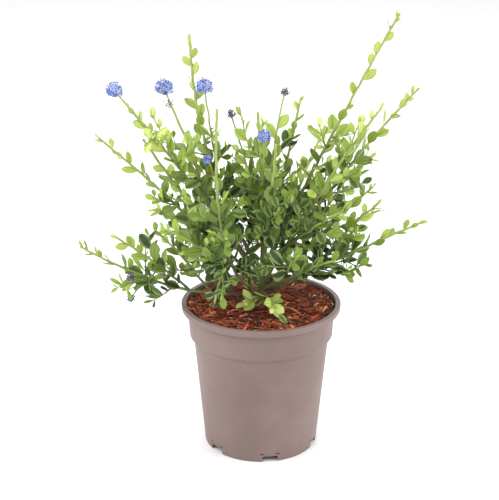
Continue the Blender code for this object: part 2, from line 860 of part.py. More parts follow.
def twig_profile(into):
    """The three-sided cross-section that every twig is drawn along."""
    data = bpy.data.curves.new("twig_profile", "CURVE")
    data.dimensions = "2D"
    spline = data.splines.new("POLY")
    spline.points.add(2)
    spline.use_cyclic_u = True
    for i, point in enumerate(spline.points):
        angle = 2 * math.pi * i / 3
        point.co = (math.cos(angle), math.sin(angle), 0.0, 1.0)
    return helper(place("twig_profile", data, into))


def main():
    for obj in list(bpy.data.objects):
        bpy.data.objects.remove(obj)
    parts = collection("california_lilac")
    cutters = collection("cutters", hidden=True)
    make_pot(parts, cutters)
    make_mulch(parts)
    bark = material("young_bark", (0.17, 0.16, 0.07), 0.8)
    trunk, clearance = make_trunk(parts, cutters, bark)
    spaces = Spaces()
    profile = twig_profile(cutters)
    blank = leaf_blank()
    leaves = 0
    for mass in MASSES:
        if mass.limb:
            make_limb(mass, parts, clearance, bark)
        finish = material(f"leaves_{mass.name}", (0.16, 0.27, 0.06), 0.45)
        leaves += make_mass(mass, spaces, parts, profile, blank, finish)
    print(f"{len(MASSES)} masses, {leaves} leaves")


main()
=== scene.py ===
# %% [markdown]
# # A young california lilac in a nursery pot
#
# A shrub looks right when three things are right: where its shoots reach, how its leaves are set on
# them, and how light falls on many small glossy surfaces. This lesson grows the plant by a seeded rule
# from a short table of shoots, turns the result into a few large meshes with numpy, and gives each kind
# of surface its own procedural finish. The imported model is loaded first, because every piece is fitted
# to it and stays inside its box.

# %% Load the frame
import math
import random
from dataclasses import dataclass

import bpy
import numpy as np
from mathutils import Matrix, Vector


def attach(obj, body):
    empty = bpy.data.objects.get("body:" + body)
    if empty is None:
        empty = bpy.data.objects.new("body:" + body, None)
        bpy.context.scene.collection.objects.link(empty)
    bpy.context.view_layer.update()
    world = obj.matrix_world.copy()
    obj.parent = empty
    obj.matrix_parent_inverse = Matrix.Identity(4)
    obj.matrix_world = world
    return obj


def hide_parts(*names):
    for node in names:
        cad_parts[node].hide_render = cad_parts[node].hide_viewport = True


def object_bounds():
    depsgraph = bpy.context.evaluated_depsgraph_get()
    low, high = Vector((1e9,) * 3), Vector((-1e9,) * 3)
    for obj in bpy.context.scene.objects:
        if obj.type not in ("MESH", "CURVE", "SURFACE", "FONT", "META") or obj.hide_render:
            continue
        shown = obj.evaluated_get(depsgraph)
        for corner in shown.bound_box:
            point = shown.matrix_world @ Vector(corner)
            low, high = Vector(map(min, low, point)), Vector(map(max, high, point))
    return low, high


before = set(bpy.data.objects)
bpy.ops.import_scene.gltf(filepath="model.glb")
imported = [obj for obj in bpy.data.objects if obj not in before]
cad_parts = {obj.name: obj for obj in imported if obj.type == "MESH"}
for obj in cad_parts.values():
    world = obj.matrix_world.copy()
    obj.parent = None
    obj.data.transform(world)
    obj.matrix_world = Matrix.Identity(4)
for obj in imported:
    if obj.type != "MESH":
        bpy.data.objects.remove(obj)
cad_low, cad_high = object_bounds()
print("CAD box", [round(v, 4) for v in cad_low], [round(v, 4) for v in cad_high])

# %% [markdown]
# ## Camera and studio
# The photograph looks slightly down on the pot from a little over a metre away, with a long lens. The
# focal length is given in pixels of a picture 500 pixels high, so it is turned into millimetres on
# Blender's own film width. Nothing is in focus more than the rest, so depth of field stays off.

# %% Camera
PHOTO_HEIGHT = 500
FOCAL_PIXELS = 1202.5
CAMERA_PLACE = (-0.0123, -1.1897, 0.6439)
CAMERA_PITCH = 19.70

camera_data = bpy.data.cameras.new("camera")
camera_data.lens = FOCAL_PIXELS * camera_data.sensor_width / PHOTO_HEIGHT
camera = bpy.data.objects.new("camera", camera_data)
camera.location = CAMERA_PLACE
camera.rotation_euler = (math.radians(90.0 - CAMERA_PITCH), 0.0, 0.0)
bpy.context.scene.collection.objects.link(camera)
bpy.context.scene.camera = camera
print(f"lens {camera_data.lens:.1f} mm")

# %% [markdown]
# Product photographs of plants are made under large soft boxes on a white sweep. Area lights do that
# here: a broad one from the upper left, a weaker one low on each side that brightens the pot's edges,
# one behind and above that lights the leaves' edges, and four over the far parts of the floor that keep
# it as white as the rest from any side. A bright even sky fills the shadows between the leaves.

# %% Lights
bpy.context.scene.view_settings.view_transform = "Standard"
SKY_STRENGTH = 0.68
SOFT_BOXES = [
    ("key", (-1.1, -1.5, 2.1), (0.0, 0.0, 0.25), 1.5, 25.0),
    ("right_side", (1.7, -0.5, 1.0), (0.0, 0.0, 0.20), 1.2, 24.0),
    ("left_side", (-1.8, -0.2, 0.9), (0.0, 0.0, 0.20), 1.0, 17.0),
    ("back", (0.3, 1.5, 2.0), (0.0, 0.0, 0.25), 1.6, 20.0),
]
SWEEPS = {"back": (0, 1), "front": (0, -1), "right": (1, 0), "left": (-1, 0)}
SWEEP_DISTANCE = 3.8
SWEEP_HEIGHT = 2.6
SWEEP_SIZE = 4.8
SWEEP_POWER = 54.0


def soft_box(name, place, target, size, power):
    """A square area light that faces its target."""
    data = bpy.data.lights.new(name, "AREA")
    data.size = size
    data.energy = power
    lamp = bpy.data.objects.new(name, data)
    lamp.location = place
    lamp.rotation_euler = (Vector(target) - Vector(place)).to_track_quat("-Z", "Y").to_euler()
    bpy.context.scene.collection.objects.link(lamp)


for soft_box_values in SOFT_BOXES:
    soft_box(*soft_box_values)
for side, (right, back) in SWEEPS.items():
    below = Vector((right, back, 0)) * SWEEP_DISTANCE
    soft_box(f"sweep_{side}", below + Vector((0, 0, SWEEP_HEIGHT)), below, SWEEP_SIZE, SWEEP_POWER)
sky = bpy.data.worlds.new("sky")
sky.use_nodes = True
sky.node_tree.nodes["Background"].inputs["Color"].default_value = (1.0, 1.0, 1.0, 1.0)
sky.node_tree.nodes["Background"].inputs["Strength"].default_value = SKY_STRENGTH
bpy.context.scene.world = sky
print(len(SOFT_BOXES) + len(SWEEPS), "soft boxes")

# %% [markdown]
# ## Shader arithmetic
# Procedural finishes are sums and products of patterns. Wrapping a node's socket in a small class that
# knows the arithmetic operators lets a pattern be written as an ordinary expression. `Finish.node`
# adds any node: its settings first, then its sockets, by value or by link.


# %% Colours and wires
def linear(red, green, blue):
    """A picture colour, 0 to 255, as Blender's linear colour with alpha."""
    parts = [part / 255.0 for part in (red, green, blue)]
    curved = [part / 12.92 if part <= 0.04045 else ((part + 0.055) / 1.055) ** 2.4 for part in parts]
    return (*curved, 1.0)


class Wire:
    """A socket that takes part in arithmetic: each operator adds a Math node."""

    def __init__(self, finish, socket):
        self.finish = finish
        self.socket = socket

    def maths(self, operation, first, second):
        return self.finish.node("ShaderNodeMath", {"operation": operation}, {0: first, 1: second})

    def __add__(self, other):
        return self.maths("ADD", self, other)

    def __radd__(self, other):
        return self.maths("ADD", other, self)

    def __sub__(self, other):
        return self.maths("SUBTRACT", self, other)

    def __rsub__(self, other):
        return self.maths("SUBTRACT", other, self)

    def __mul__(self, other):
        return self.maths("MULTIPLY", self, other)

    def __rmul__(self, other):
        return self.maths("MULTIPLY", other, self)


# %% Finishes
class Finish:
    """A material under construction."""

    def __init__(self, name, **constants):
        self.material = bpy.data.materials.new(name)
        self.material.use_nodes = True
        self.tree = self.material.node_tree
        self.shader = self.tree.nodes["Principled BSDF"]
        for socket, value in constants.items():
            self.shader.inputs[socket.replace("_", " ")].default_value = value

    def node(self, kind, settings=None, inputs=None, output=0):
        """Adds a node with its settings and sockets, and returns one of its outputs."""
        made = self.tree.nodes.new(kind)
        for key, value in (settings or {}).items():
            setattr(made, key, value)
        for key, value in (inputs or {}).items():
            self.feed(made.inputs[key], value)
        return Wire(self, made.outputs[output])

    def feed(self, socket, value):
        if isinstance(value, Wire):
            self.tree.links.new(value.socket, socket)
        else:
            socket.default_value = value

    def place(self):
        return self.node("ShaderNodeTexCoord", output="Object")

    def along(self):
        """The piece's own UV map: u along a leaf, stem or chip, v across or round it."""
        return self.node("ShaderNodeUVMap", {"uv_map": "along"})

    def stretched(self, vector, scale):
        return self.node("ShaderNodeMapping", None, {"Vector": vector, "Scale": scale})

    def noise(self, vector, scale, detail=4.0, roughness=0.55):
        inputs = {"Vector": vector, "Scale": scale, "Detail": detail, "Roughness": roughness}
        return self.node("ShaderNodeTexNoise", None, inputs, "Fac")

    def spread(self, value, low, high, to_low=0.0, to_high=1.0):
        """The value's stretch from low to high, mapped smoothly to another stretch."""
        inputs = {"Value": value, "From Min": low, "From Max": high, "To Min": to_low, "To Max": to_high}
        return self.node("ShaderNodeMapRange", {"interpolation_type": "SMOOTHSTEP"}, inputs)

    def blend(self, share, first, second):
        return self.node("ShaderNodeMix", {"data_type": "RGBA"}, {0: share, 6: first, 7: second}, 2)

    def colour(self, value):
        self.feed(self.shader.inputs["Base Color"], value)

    def roughness(self, value):
        self.feed(self.shader.inputs["Roughness"], value)

    def bump(self, height, strength, distance):
        inputs = {"Height": height, "Strength": strength, "Distance": distance}
        self.feed(self.shader.inputs["Normal"], self.node("ShaderNodeBump", None, inputs))


# %% [markdown]
# ## Meshes from arrays
# All new pieces are surfaces worked out with numpy. Points come as one array and faces as arrays of
# three or four corners, which `foreach_set` hands to Blender at once. The same function writes the
# `along` UV map that the finishes read, and a material number for each face.


# %% Mesh from arrays
def mesh_piece(name, points, faces, finishes, numbers=None, along=None, sharp_degrees=50.0):
    """One object from points (n, 3) and a list of face arrays, each (m, 3) or (m, 4).

    A mesh with no finish is only a cutting tool, so its size isn't printed.
    """
    mesh = bpy.data.meshes.new(name)
    corners = np.concatenate([group.ravel() for group in faces]).astype(np.int32)
    counts = np.concatenate([np.full(len(group), group.shape[1]) for group in faces])
    starts = (np.cumsum(counts) - counts).astype(np.int32)
    mesh.vertices.add(len(points))
    mesh.vertices.foreach_set("co", points.astype(np.float32).ravel())
    mesh.loops.add(len(corners))
    mesh.loops.foreach_set("vertex_index", corners)
    mesh.polygons.add(len(counts))
    mesh.polygons.foreach_set("loop_start", starts)
    for finish in finishes:
        mesh.materials.append(finish.material)
    if numbers is not None:
        mesh.polygons.foreach_set("material_index", numbers.astype(np.int32))
    mesh.update(calc_edges=True)
    if along is not None:
        layer = mesh.uv_layers.new(name="along")
        layer.data.foreach_set("uv", along[corners].astype(np.float32).ravel())
    mesh.shade_smooth()
    mesh.set_sharp_from_angle(angle=math.radians(sharp_degrees))
    piece = bpy.data.objects.new(name, mesh)
    bpy.context.scene.collection.objects.link(piece)
    if finishes:
        print(f"{name}: {(counts - 2).sum()} triangles")
    return piece


def unit(vectors):
    return vectors / np.maximum(np.linalg.norm(vectors, axis=-1, keepdims=True), 1e-12)


# %% [markdown]
# ## The floor
# A plain pale floor, matt and nearly white, carries only the pot's soft shadow.

# %% Floor
FLOOR_REACH = 9.0
floor_finish = Finish("pale_floor", Roughness=0.85)
floor_mottle = floor_finish.noise(floor_finish.place(), 3.0)
floor_finish.colour(floor_finish.blend(floor_mottle, (0.78, 0.78, 0.78, 1.0), (0.80, 0.80, 0.80, 1.0)))
floor_corners = np.array([(-1, -1, 0), (1, -1, 0), (1, 1, 0), (-1, 1, 0)]) * FLOOR_REACH
floor = mesh_piece("floor", floor_corners, [np.array([[0, 1, 2, 3]])], [floor_finish])

# %% [markdown]
# ## The pot
# A nursery pot is one thin moulded shell of revolution: a rolled rim, a tall collar, a small step, a
# tapering body and a raised drain ring. A profile of corners, each rounded by its own small curve, is
# turned round the axis. The profile runs from the inner floor up the inside, over the rim, down the
# outside and back under the foot, so the shell is closed and its faces point out.

# %% Pot sizes
POT_HEIGHT = 0.1606
RIM_RADIUS = 0.085
RIM_DEPTH = 0.0065
RIM_WIDTH = 0.0055
COLLAR_TOP_RADIUS = 0.0782
COLLAR_FOOT_RADIUS = 0.0765
COLLAR_FOOT_HEIGHT = 0.1250
STEP_FOOT_HEIGHT = 0.1205
BODY_TOP_RADIUS = 0.0722
BODY_FOOT_RADIUS = 0.0610
WALL = 0.0018
FLOOR = 0.0020
FOOT_RING_WIDTH = 0.0020
DRAIN_RING_WIDTH = 0.0180
DRAIN_RING_HEIGHT = 0.0070
POT_STEPS = 288


def rounded_profile(corners, count=5):
    """Each corner (radius, height, fillet) becomes a short curve.

    It runs between the points a and b that lie a fillet away on the corner's two sides: with c the
    corner, it is (1-t)^2 a + 2 t (1-t) c + t^2 b.
    """
    spots = np.array([corner[:2] for corner in corners], dtype=float)
    fillets = np.array([corner[2] for corner in corners], dtype=float)
    before = unit(np.roll(spots, 1, axis=0) - spots)
    after = unit(np.roll(spots, -1, axis=0) - spots)
    before[0] = after[-1] = 0.0
    t = np.linspace(0.0, 1.0, count)[None, :, None]
    a = (spots + before * fillets[:, None])[:, None]
    b = (spots + after * fillets[:, None])[:, None]
    c = spots[:, None]
    curve = (1 - t) ** 2 * a + 2 * t * (1 - t) * c + t**2 * b
    keep = np.repeat(fillets[:, None] > 0, count, axis=1)
    keep[:, 0] = True
    return curve[keep]


def turned(profile, steps, relief=None):
    """Points and faces of a profile turned round +Z.

    Ring points are (r cos a, r sin a, z), closed at both poles, and relief, of shape (profile, steps),
    is added to the radius.
    """
    inner = profile[1:-1]
    angles = np.linspace(0.0, 2 * np.pi, steps, endpoint=False)[None]
    radius = inner[:, :1] + (0.0 if relief is None else relief[1:-1])
    height = np.broadcast_to(inner[:, 1:], (len(inner), steps))
    rings = np.stack([radius * np.cos(angles), radius * np.sin(angles), height], axis=2)
    poles = np.array([(0.0, 0.0, profile[0, 1]), (0.0, 0.0, profile[-1, 1])])
    points = np.concatenate([rings.reshape(-1, 3), poles])
    number = np.arange(len(inner) * steps).reshape(len(inner), steps)
    right = np.roll(number, -1, axis=1)
    quads = np.stack([number[:-1], number[1:], right[1:], right[:-1]], axis=2).reshape(-1, 4)
    first = len(inner) * steps
    top = np.stack([np.full(steps, first), number[0], right[0]], axis=1)
    foot = np.stack([np.full(steps, first + 1), right[-1], number[-1]], axis=1)
    return points, [quads, np.concatenate([top, foot])]


# %% Pot shell
def inner_radius(height):
    """The inside of the body's wall at a height under the step."""
    share = height / STEP_FOOT_HEIGHT
    return BODY_FOOT_RADIUS + share * (BODY_TOP_RADIUS - BODY_FOOT_RADIUS) - WALL


RING_OUTER = BODY_FOOT_RADIUS - FOOT_RING_WIDTH
RING_INNER = RING_OUTER - DRAIN_RING_WIDTH
RIM_FOOT = POT_HEIGHT - RIM_DEPTH
pot_corners = [
    (0.0, FLOOR, 0.0),
    (RING_INNER - FLOOR, FLOOR, 0.0008),
    (RING_INNER - FLOOR, DRAIN_RING_HEIGHT + FLOOR, 0.0008),
    (inner_radius(DRAIN_RING_HEIGHT + FLOOR), DRAIN_RING_HEIGHT + FLOOR, 0.0008),
    (inner_radius(STEP_FOOT_HEIGHT), STEP_FOOT_HEIGHT, 0.0006),
    (COLLAR_FOOT_RADIUS - WALL, COLLAR_FOOT_HEIGHT, 0.0008),
    (RIM_RADIUS - RIM_WIDTH, POT_HEIGHT, 0.0010),
    (RIM_RADIUS, POT_HEIGHT, 0.0014),
    (RIM_RADIUS - 0.0006, RIM_FOOT, 0.0007),
    (COLLAR_TOP_RADIUS + 0.0012, RIM_FOOT, 0.0005),
    (COLLAR_TOP_RADIUS, RIM_FOOT - 0.0016, 0.0008),
    (COLLAR_FOOT_RADIUS, COLLAR_FOOT_HEIGHT, 0.0008),
    (BODY_TOP_RADIUS, STEP_FOOT_HEIGHT, 0.0012),
    (BODY_FOOT_RADIUS, 0.0, 0.0011),
    (RING_OUTER, 0.0, 0.0004),
    (RING_OUTER, DRAIN_RING_HEIGHT, 0.0006),
    (RING_INNER, DRAIN_RING_HEIGHT, 0.0006),
    (RING_INNER, 0.0, 0.0008),
    (0.0, 0.0, 0.0),
]
pot_profile = rounded_profile(pot_corners)

# %% [markdown]
# The moulding isn't perfectly round: two faint seams run down the shell where the mould parted, and the
# thin wall is very slightly wavy. Both are added to the radius before turning, and both fade out before
# the rim's lip and the foot, where the corners' points are too close together to be moved one by one.

# %% Pot relief
SEAM_HEIGHT = 0.00018
SEAM_ANGLES = (-0.95, 2.19)
SEAM_SPREAD = 0.016
WAVE = 0.00016
RELIEF_MARGIN = 0.003
RELIEF_FADE = 0.008
pot_angles = np.linspace(0.0, 2 * np.pi, POT_STEPS, endpoint=False)
from_seams = [np.angle(np.exp(1j * (pot_angles - seam))) for seam in SEAM_ANGLES]
seams = sum(np.exp(-((gap / SEAM_SPREAD) ** 2)) for gap in from_seams)
waves = np.sin(3 * pot_angles + 0.4) + 0.6 * np.sin(7 * pot_angles + 1.9)
outside = np.arange(len(pot_profile)) > pot_profile[:, 0].argmax()
below_rim = ((RIM_FOOT - RELIEF_MARGIN - pot_profile[:, 1]) / RELIEF_FADE).clip(0.0, 1.0)
above_foot = ((pot_profile[:, 1] - RELIEF_MARGIN) / RELIEF_FADE).clip(0.0, 1.0)
on_wall = outside & (pot_profile[:, 0] > BODY_FOOT_RADIUS)
pot_relief = (on_wall * below_rim * above_foot)[:, None] * (SEAM_HEIGHT * seams + WAVE * waves)[None]

# %% [markdown]
# The plastic is a matt taupe. Close up it has a fine grain from the mould, a lighter bloom where pots
# rub against each other in stacks, and a little dried dust low down. Under the foot and in the notches
# the colour is painted very dark as painted shade. The grain is bump, the bloom and dust are soft noise
# in the colour, and rubbed places are a little smoother.

# %% Pot plastic
FOOT_SHADE_FADE = 0.0025
FOOT_SHADE_STRENGTH = 0.85
DUST_HEIGHT = 0.035
plastic = Finish("taupe_plastic", Roughness=0.45, Specular_IOR_Level=0.5)
plastic_place = plastic.place()
broad = plastic.noise(plastic_place, 14.0, 3.0)
grain = plastic.noise(plastic_place, 900.0, 2.0)
streaks = plastic.noise(plastic.stretched(plastic_place, (60.0, 60.0, 5.0)), 3.0, 5.0, 0.6)
rubbing = plastic.noise(plastic.stretched(plastic_place, (1.0, 1.0, 3.5)), 55.0, 6.0, 0.7)
scuffs = plastic.spread(rubbing, 0.60, 0.78)
height_above = plastic.node("ShaderNodeSeparateXYZ", None, {0: plastic_place}, "Z")
dust = plastic.spread(height_above, 0.0, DUST_HEIGHT, 1.0, 0.0) * plastic.spread(streaks, 0.35, 0.75)
taupe = plastic.blend(plastic.spread(broad, 0.3, 0.7), linear(113, 93, 88), linear(123, 103, 98))
taupe = plastic.blend(scuffs * 0.22, taupe, linear(176, 160, 152))
taupe = plastic.blend(dust * 0.25, taupe, linear(108, 86, 74))

# %% Painted shade under the foot, grain and gloss
level = {0: plastic_place, 1: (1, 1, 0)}
level_place = plastic.node("ShaderNodeVectorMath", {"operation": "MULTIPLY"}, level)
from_axis = plastic.node("ShaderNodeVectorMath", {"operation": "LENGTH"}, {0: level_place}, "Value")
# Painted shade: inside the foot ring and in the notches, under the pot, the plastic is painted very dark.
inward = plastic.spread(from_axis, RING_OUTER - FOOT_SHADE_FADE, RING_OUTER, 1.0, 0.0)
low_down = plastic.spread(height_above, DRAIN_RING_HEIGHT, DRAIN_RING_HEIGHT + FOOT_SHADE_FADE, 1.0, 0.0)
taupe = plastic.blend(inward * low_down * FOOT_SHADE_STRENGTH, taupe, linear(34, 26, 22))
plastic.colour(taupe)
plastic.roughness(0.44 + 0.10 * streaks - 0.08 * scuffs)
plastic.bump(grain + scuffs * 0.4, 0.22, 0.0002)

# %% Pot mesh
POT_SHARP = 35.0
pot_points, pot_faces = turned(pot_profile, POT_STEPS, pot_relief)
pot = mesh_piece("pot_shell", pot_points, pot_faces, [plastic], sharp_degrees=POT_SHARP)

# %% [markdown]
# Six arched notches in the foot ring let water out, each with two slits above its corners. They are cut
# with a Boolean from blocks whose outline is an arch: straight sides and two rounded shoulders.

# %% Drain notches
NOTCH_COUNT = 6
NOTCH_WIDTH = 0.0170
NOTCH_HEIGHT = 0.0068
NOTCH_SHOULDER = 0.0024
NOTCH_START = math.radians(-81.0)
SLIT_WIDTH = 0.0046
SLIT_HEIGHT = 0.0012
SLIT_RISE = 0.0092
CUT_BELOW = 0.002
CUT_PAST = 0.004


def arch_outline(width, bottom, top, shoulder):
    """The outline, seen from outside: up one side, over the rounded shoulders and down the other."""
    turn = np.linspace(0.0, np.pi / 2, 5)
    right_x = width / 2 - shoulder + shoulder * np.cos(turn)
    right_z = top - shoulder + shoulder * np.sin(turn)
    side = np.concatenate([[width / 2], right_x])
    rise = np.concatenate([[bottom], right_z])
    return np.stack([np.concatenate([side, -side[::-1]]), np.concatenate([rise, rise[::-1]])], axis=1)


def radial_block(outline, inner, outer, angle, sideways=0.0):
    """The outline swept from one radius to another along a direction in the ground plane."""
    count = len(outline)
    ahead = np.array([math.cos(angle), math.sin(angle), 0.0])
    aside = np.array([-math.sin(angle), math.cos(angle), 0.0])
    flat = (outline[:, :1] + sideways) * aside + outline[:, 1:] * np.array([0.0, 0.0, 1.0])
    middle = flat.mean(axis=0)
    near, far = inner * ahead, outer * ahead
    points = np.concatenate([flat + near, flat + far, [middle + near, middle + far]])
    i = np.arange(count)
    j = (i + 1) % count
    walls = np.stack([i, j, j + count, i + count], axis=1)
    back = np.stack([np.full(count, 2 * count), j, i], axis=1)
    front = np.stack([np.full(count, 2 * count + 1), i + count, j + count], axis=1)
    return points, [walls, np.concatenate([back, front])]


def cut_away(piece, points, faces):
    """Cuts a block out of a piece at once, and removes the block."""
    block = mesh_piece("block", points, faces, [])
    boolean = piece.modifiers.new("cut", "BOOLEAN")
    boolean.operation = "DIFFERENCE"
    boolean.object = block
    graph = bpy.context.evaluated_depsgraph_get()
    carved = bpy.data.meshes.new_from_object(piece.evaluated_get(graph))
    piece.modifiers.clear()
    piece.data = carved
    bpy.data.objects.remove(block)


# %% Cutting the notches and slits
notch_inner = RING_OUTER - 2 * FOOT_RING_WIDTH
slit_inner = BODY_FOOT_RADIUS - 2 * WALL
cut_outer = BODY_FOOT_RADIUS + CUT_PAST
notch = arch_outline(NOTCH_WIDTH, -CUT_BELOW, NOTCH_HEIGHT, NOTCH_SHOULDER)
slit = np.array([(1, -1), (1, 1), (-1, 1), (-1, -1)]) * (SLIT_WIDTH / 2, SLIT_HEIGHT / 2) + (0.0, SLIT_RISE)
for turn in range(NOTCH_COUNT):
    angle = NOTCH_START + turn * 2 * math.pi / NOTCH_COUNT
    cut_away(pot, *radial_block(notch, notch_inner, cut_outer, angle))
    for side in (-1, 1):
        cut_away(pot, *radial_block(slit, slit_inner, cut_outer, angle, side * NOTCH_WIDTH / 2))
pot.data.set_sharp_from_angle(angle=math.radians(POT_SHARP))
print("pot faces after the cuts", len(pot.data.polygons))
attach(pot, "root")
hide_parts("pot")

# %% [markdown]
# ## Tubes
# Stems, limbs, bark chips and fibres are all tubes of one kind: a ring of points carried along a path.
# Working out thousands of them together as whole arrays takes a fraction of a second.


# %% Tubes along paths
UP = np.array([0.0, 0.0, 1.0])


def tubes(paths, radii, sides, flatness=None, over=None):
    """Points, faces and UVs of n tubes at once, from paths (n, k, 3) and radii (n, k) or (n, k, sides).

    A ring point is path + radius * (cos a * across + flatness * sin a * over), with across and over
    square to the path. Each end is closed by a fan round its middle point. UV u runs along, v round.
    """
    n, k, _ = paths.shape
    radii = radii[:, :, None] if radii.ndim == 2 else radii
    tangents = unit(np.gradient(paths, axis=1))
    if over is None:
        run = unit(paths[:, -1] - paths[:, 0])
        over = np.where(np.abs(run[:, 2:]) > 0.9, np.array([[1.0, 0.0, 0.0]]), UP[None])
    across = unit(np.cross(over[:, None], tangents))
    over = np.cross(tangents, across)
    angles = 2 * np.pi * np.arange(sides) / sides
    squash = 1.0 if flatness is None else np.asarray(flatness)[:, None, None, None]
    ring = np.cos(angles)[None, None, :, None] * across[:, :, None]
    ring = ring + squash * np.sin(angles)[None, None, :, None] * over[:, :, None]
    rings = paths[:, :, None] + radii[..., None] * ring
    ends = np.stack([paths[:, 0], paths[:, -1]], axis=1)
    points = np.concatenate([rings.reshape(n, k * sides, 3), ends], axis=1)
    share = np.repeat(np.linspace(0.0, 1.0, k), sides)
    round_share = np.tile(np.arange(sides) / sides, k)
    uv = np.concatenate([np.stack([share, round_share], axis=1), [(0.0, 0.5), (1.0, 0.5)]])
    number = np.arange(k * sides).reshape(k, sides)
    right = np.roll(number, -1, axis=1)
    quads = np.stack([number[:-1], right[:-1], right[1:], number[1:]], axis=2).reshape(-1, 4)
    first, last = k * sides, k * sides + 1
    foot = np.stack([np.full(sides, first), right[0], number[0]], axis=1)
    tip = np.stack([np.full(sides, last), number[-1], right[-1]], axis=1)
    fans = np.concatenate([foot, tip])
    shift = (np.arange(n) * (k * sides + 2))[:, None, None]
    faces = [(quads + shift).reshape(-1, 4), (fans + shift).reshape(-1, 3)]
    return points.reshape(-1, 3), faces, np.tile(uv, (n, 1))


def per_face(numbers, faces, count):
    """A number for each face, from a number for each of count equal tubes or leaves."""
    return np.concatenate([np.repeat(numbers, len(group) // count) for group in faces])


def join(parts):
    """Puts (points, faces, uv, face numbers) parts together as one."""
    points, quads, fans, uvs, quad_numbers, fan_numbers = [], [], [], [], [], []
    start = 0
    for part_points, part_faces, part_uv, part_numbers in parts:
        points.append(part_points)
        uvs.append(part_uv)
        quads.append(part_faces[0] + start)
        fans.append(part_faces[1] + start)
        quad_numbers.append(part_numbers[: len(part_faces[0])])
        fan_numbers.append(part_numbers[len(part_faces[0]) :])
        start += len(part_points)
    faces = [np.concatenate(quads), np.concatenate(fans)]
    numbers = np.concatenate(quad_numbers + fan_numbers)
    return np.concatenate(points), faces, np.concatenate(uvs), numbers


# %% [markdown]
# ## The mulch
# Shredded bark fills the pot to just under the rim, a little higher in the middle. Under it lies a dark
# bed of potting mix. On the bed lie thousands of loose pieces: broad flakes, splinters and fine fibres,
# each a short bent tube with a ragged flat section. They are tinted piece by piece, red-brown for the
# most part, with dark damp ones and a few pale torn ones.

# %% Potting mix
MULCH_EDGE_DROP = 0.0060
MULCH_MOUND = 0.0045
MULCH_FLAT_RADIUS = 0.0160
BED_DEPTH = 0.0022
GAP = 0.0003
MULCH_REACH = RIM_RADIUS - RIM_WIDTH - 2 * GAP


def mulch_height(radius):
    """The mulch's surface: flat round the trunk, then a cosine fall to the pot's wall."""
    span = RIM_RADIUS - RIM_WIDTH - MULCH_FLAT_RADIUS
    share = np.clip((radius - MULCH_FLAT_RADIUS) / span, 0.0, 1.0)
    return POT_HEIGHT - MULCH_EDGE_DROP + MULCH_MOUND * (1.0 + np.cos(np.pi * share)) / 2


bed_radii = np.linspace(0.0, MULCH_REACH - 2 * GAP, 60)
bed_top = np.stack([bed_radii, mulch_height(bed_radii) - BED_DEPTH], axis=1)
bed_side = np.array([(COLLAR_FOOT_RADIUS - WALL - GAP, COLLAR_FOOT_HEIGHT), (0.0, COLLAR_FOOT_HEIGHT)])
potting_mix = Finish("potting_mix", Roughness=0.95)
mix_place = potting_mix.place()
crumbs = potting_mix.noise(mix_place, 420.0, 6.0, 0.7)
mix_tint = potting_mix.blend(potting_mix.spread(crumbs, 0.4, 0.62), linear(34, 16, 10), linear(92, 44, 28))
potting_mix.colour(mix_tint)
potting_mix.bump(crumbs, 0.9, 0.0012)
bed_points, bed_faces = turned(np.concatenate([bed_top, bed_side]), 180)
bed = mesh_piece("potting_mix", bed_points, bed_faces, [potting_mix])
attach(bed, "root")
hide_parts("mulch")

# %% [markdown]
# Bark tears along its fibres, so the finish of a piece is a fine streak along its own length, from the
# UV map, with darker grooves. Six tints share that pattern.


# %% Bark tints
def bark_chip(name, colour, dark):
    chip = Finish(name, Roughness=0.85)
    fibres = chip.noise(chip.stretched(chip.along(), (2.5, 26.0, 1.0)), 3.0, 5.0, 0.65)
    blotch = chip.noise(chip.place(), 190.0, 3.0)
    chip.colour(chip.blend(chip.spread(fibres + 0.35 * blotch, 0.42, 0.86), dark, colour))
    chip.roughness(0.70 + 0.25 * fibres)
    chip.bump(fibres, 0.7, 0.0004)
    return chip


chip_tints = [
    bark_chip("bark_red_brown", linear(150, 62, 30), linear(66, 20, 6)),
    bark_chip("bark_brown", linear(114, 48, 24), linear(48, 15, 6)),
    bark_chip("bark_dark", linear(56, 18, 8), linear(22, 6, 2)),
    bark_chip("bark_orange", linear(198, 96, 46), linear(106, 38, 12)),
    bark_chip("bark_tan", linear(220, 146, 92), linear(144, 74, 36)),
    bark_chip("bark_pale", linear(234, 184, 140), linear(168, 106, 66)),
]
CHIP_SHARES = (0.33, 0.20, 0.20, 0.14, 0.09, 0.04)


# %% Loose pieces of bark
WIDEST_PIECE = 0.0052
PITCH_CHANCE = 0.20
TURN_CHANCE = 0.25
BEND_CHANCE = 0.10
TILT_CHANCE = 0.35
UV_STEP = 0.37


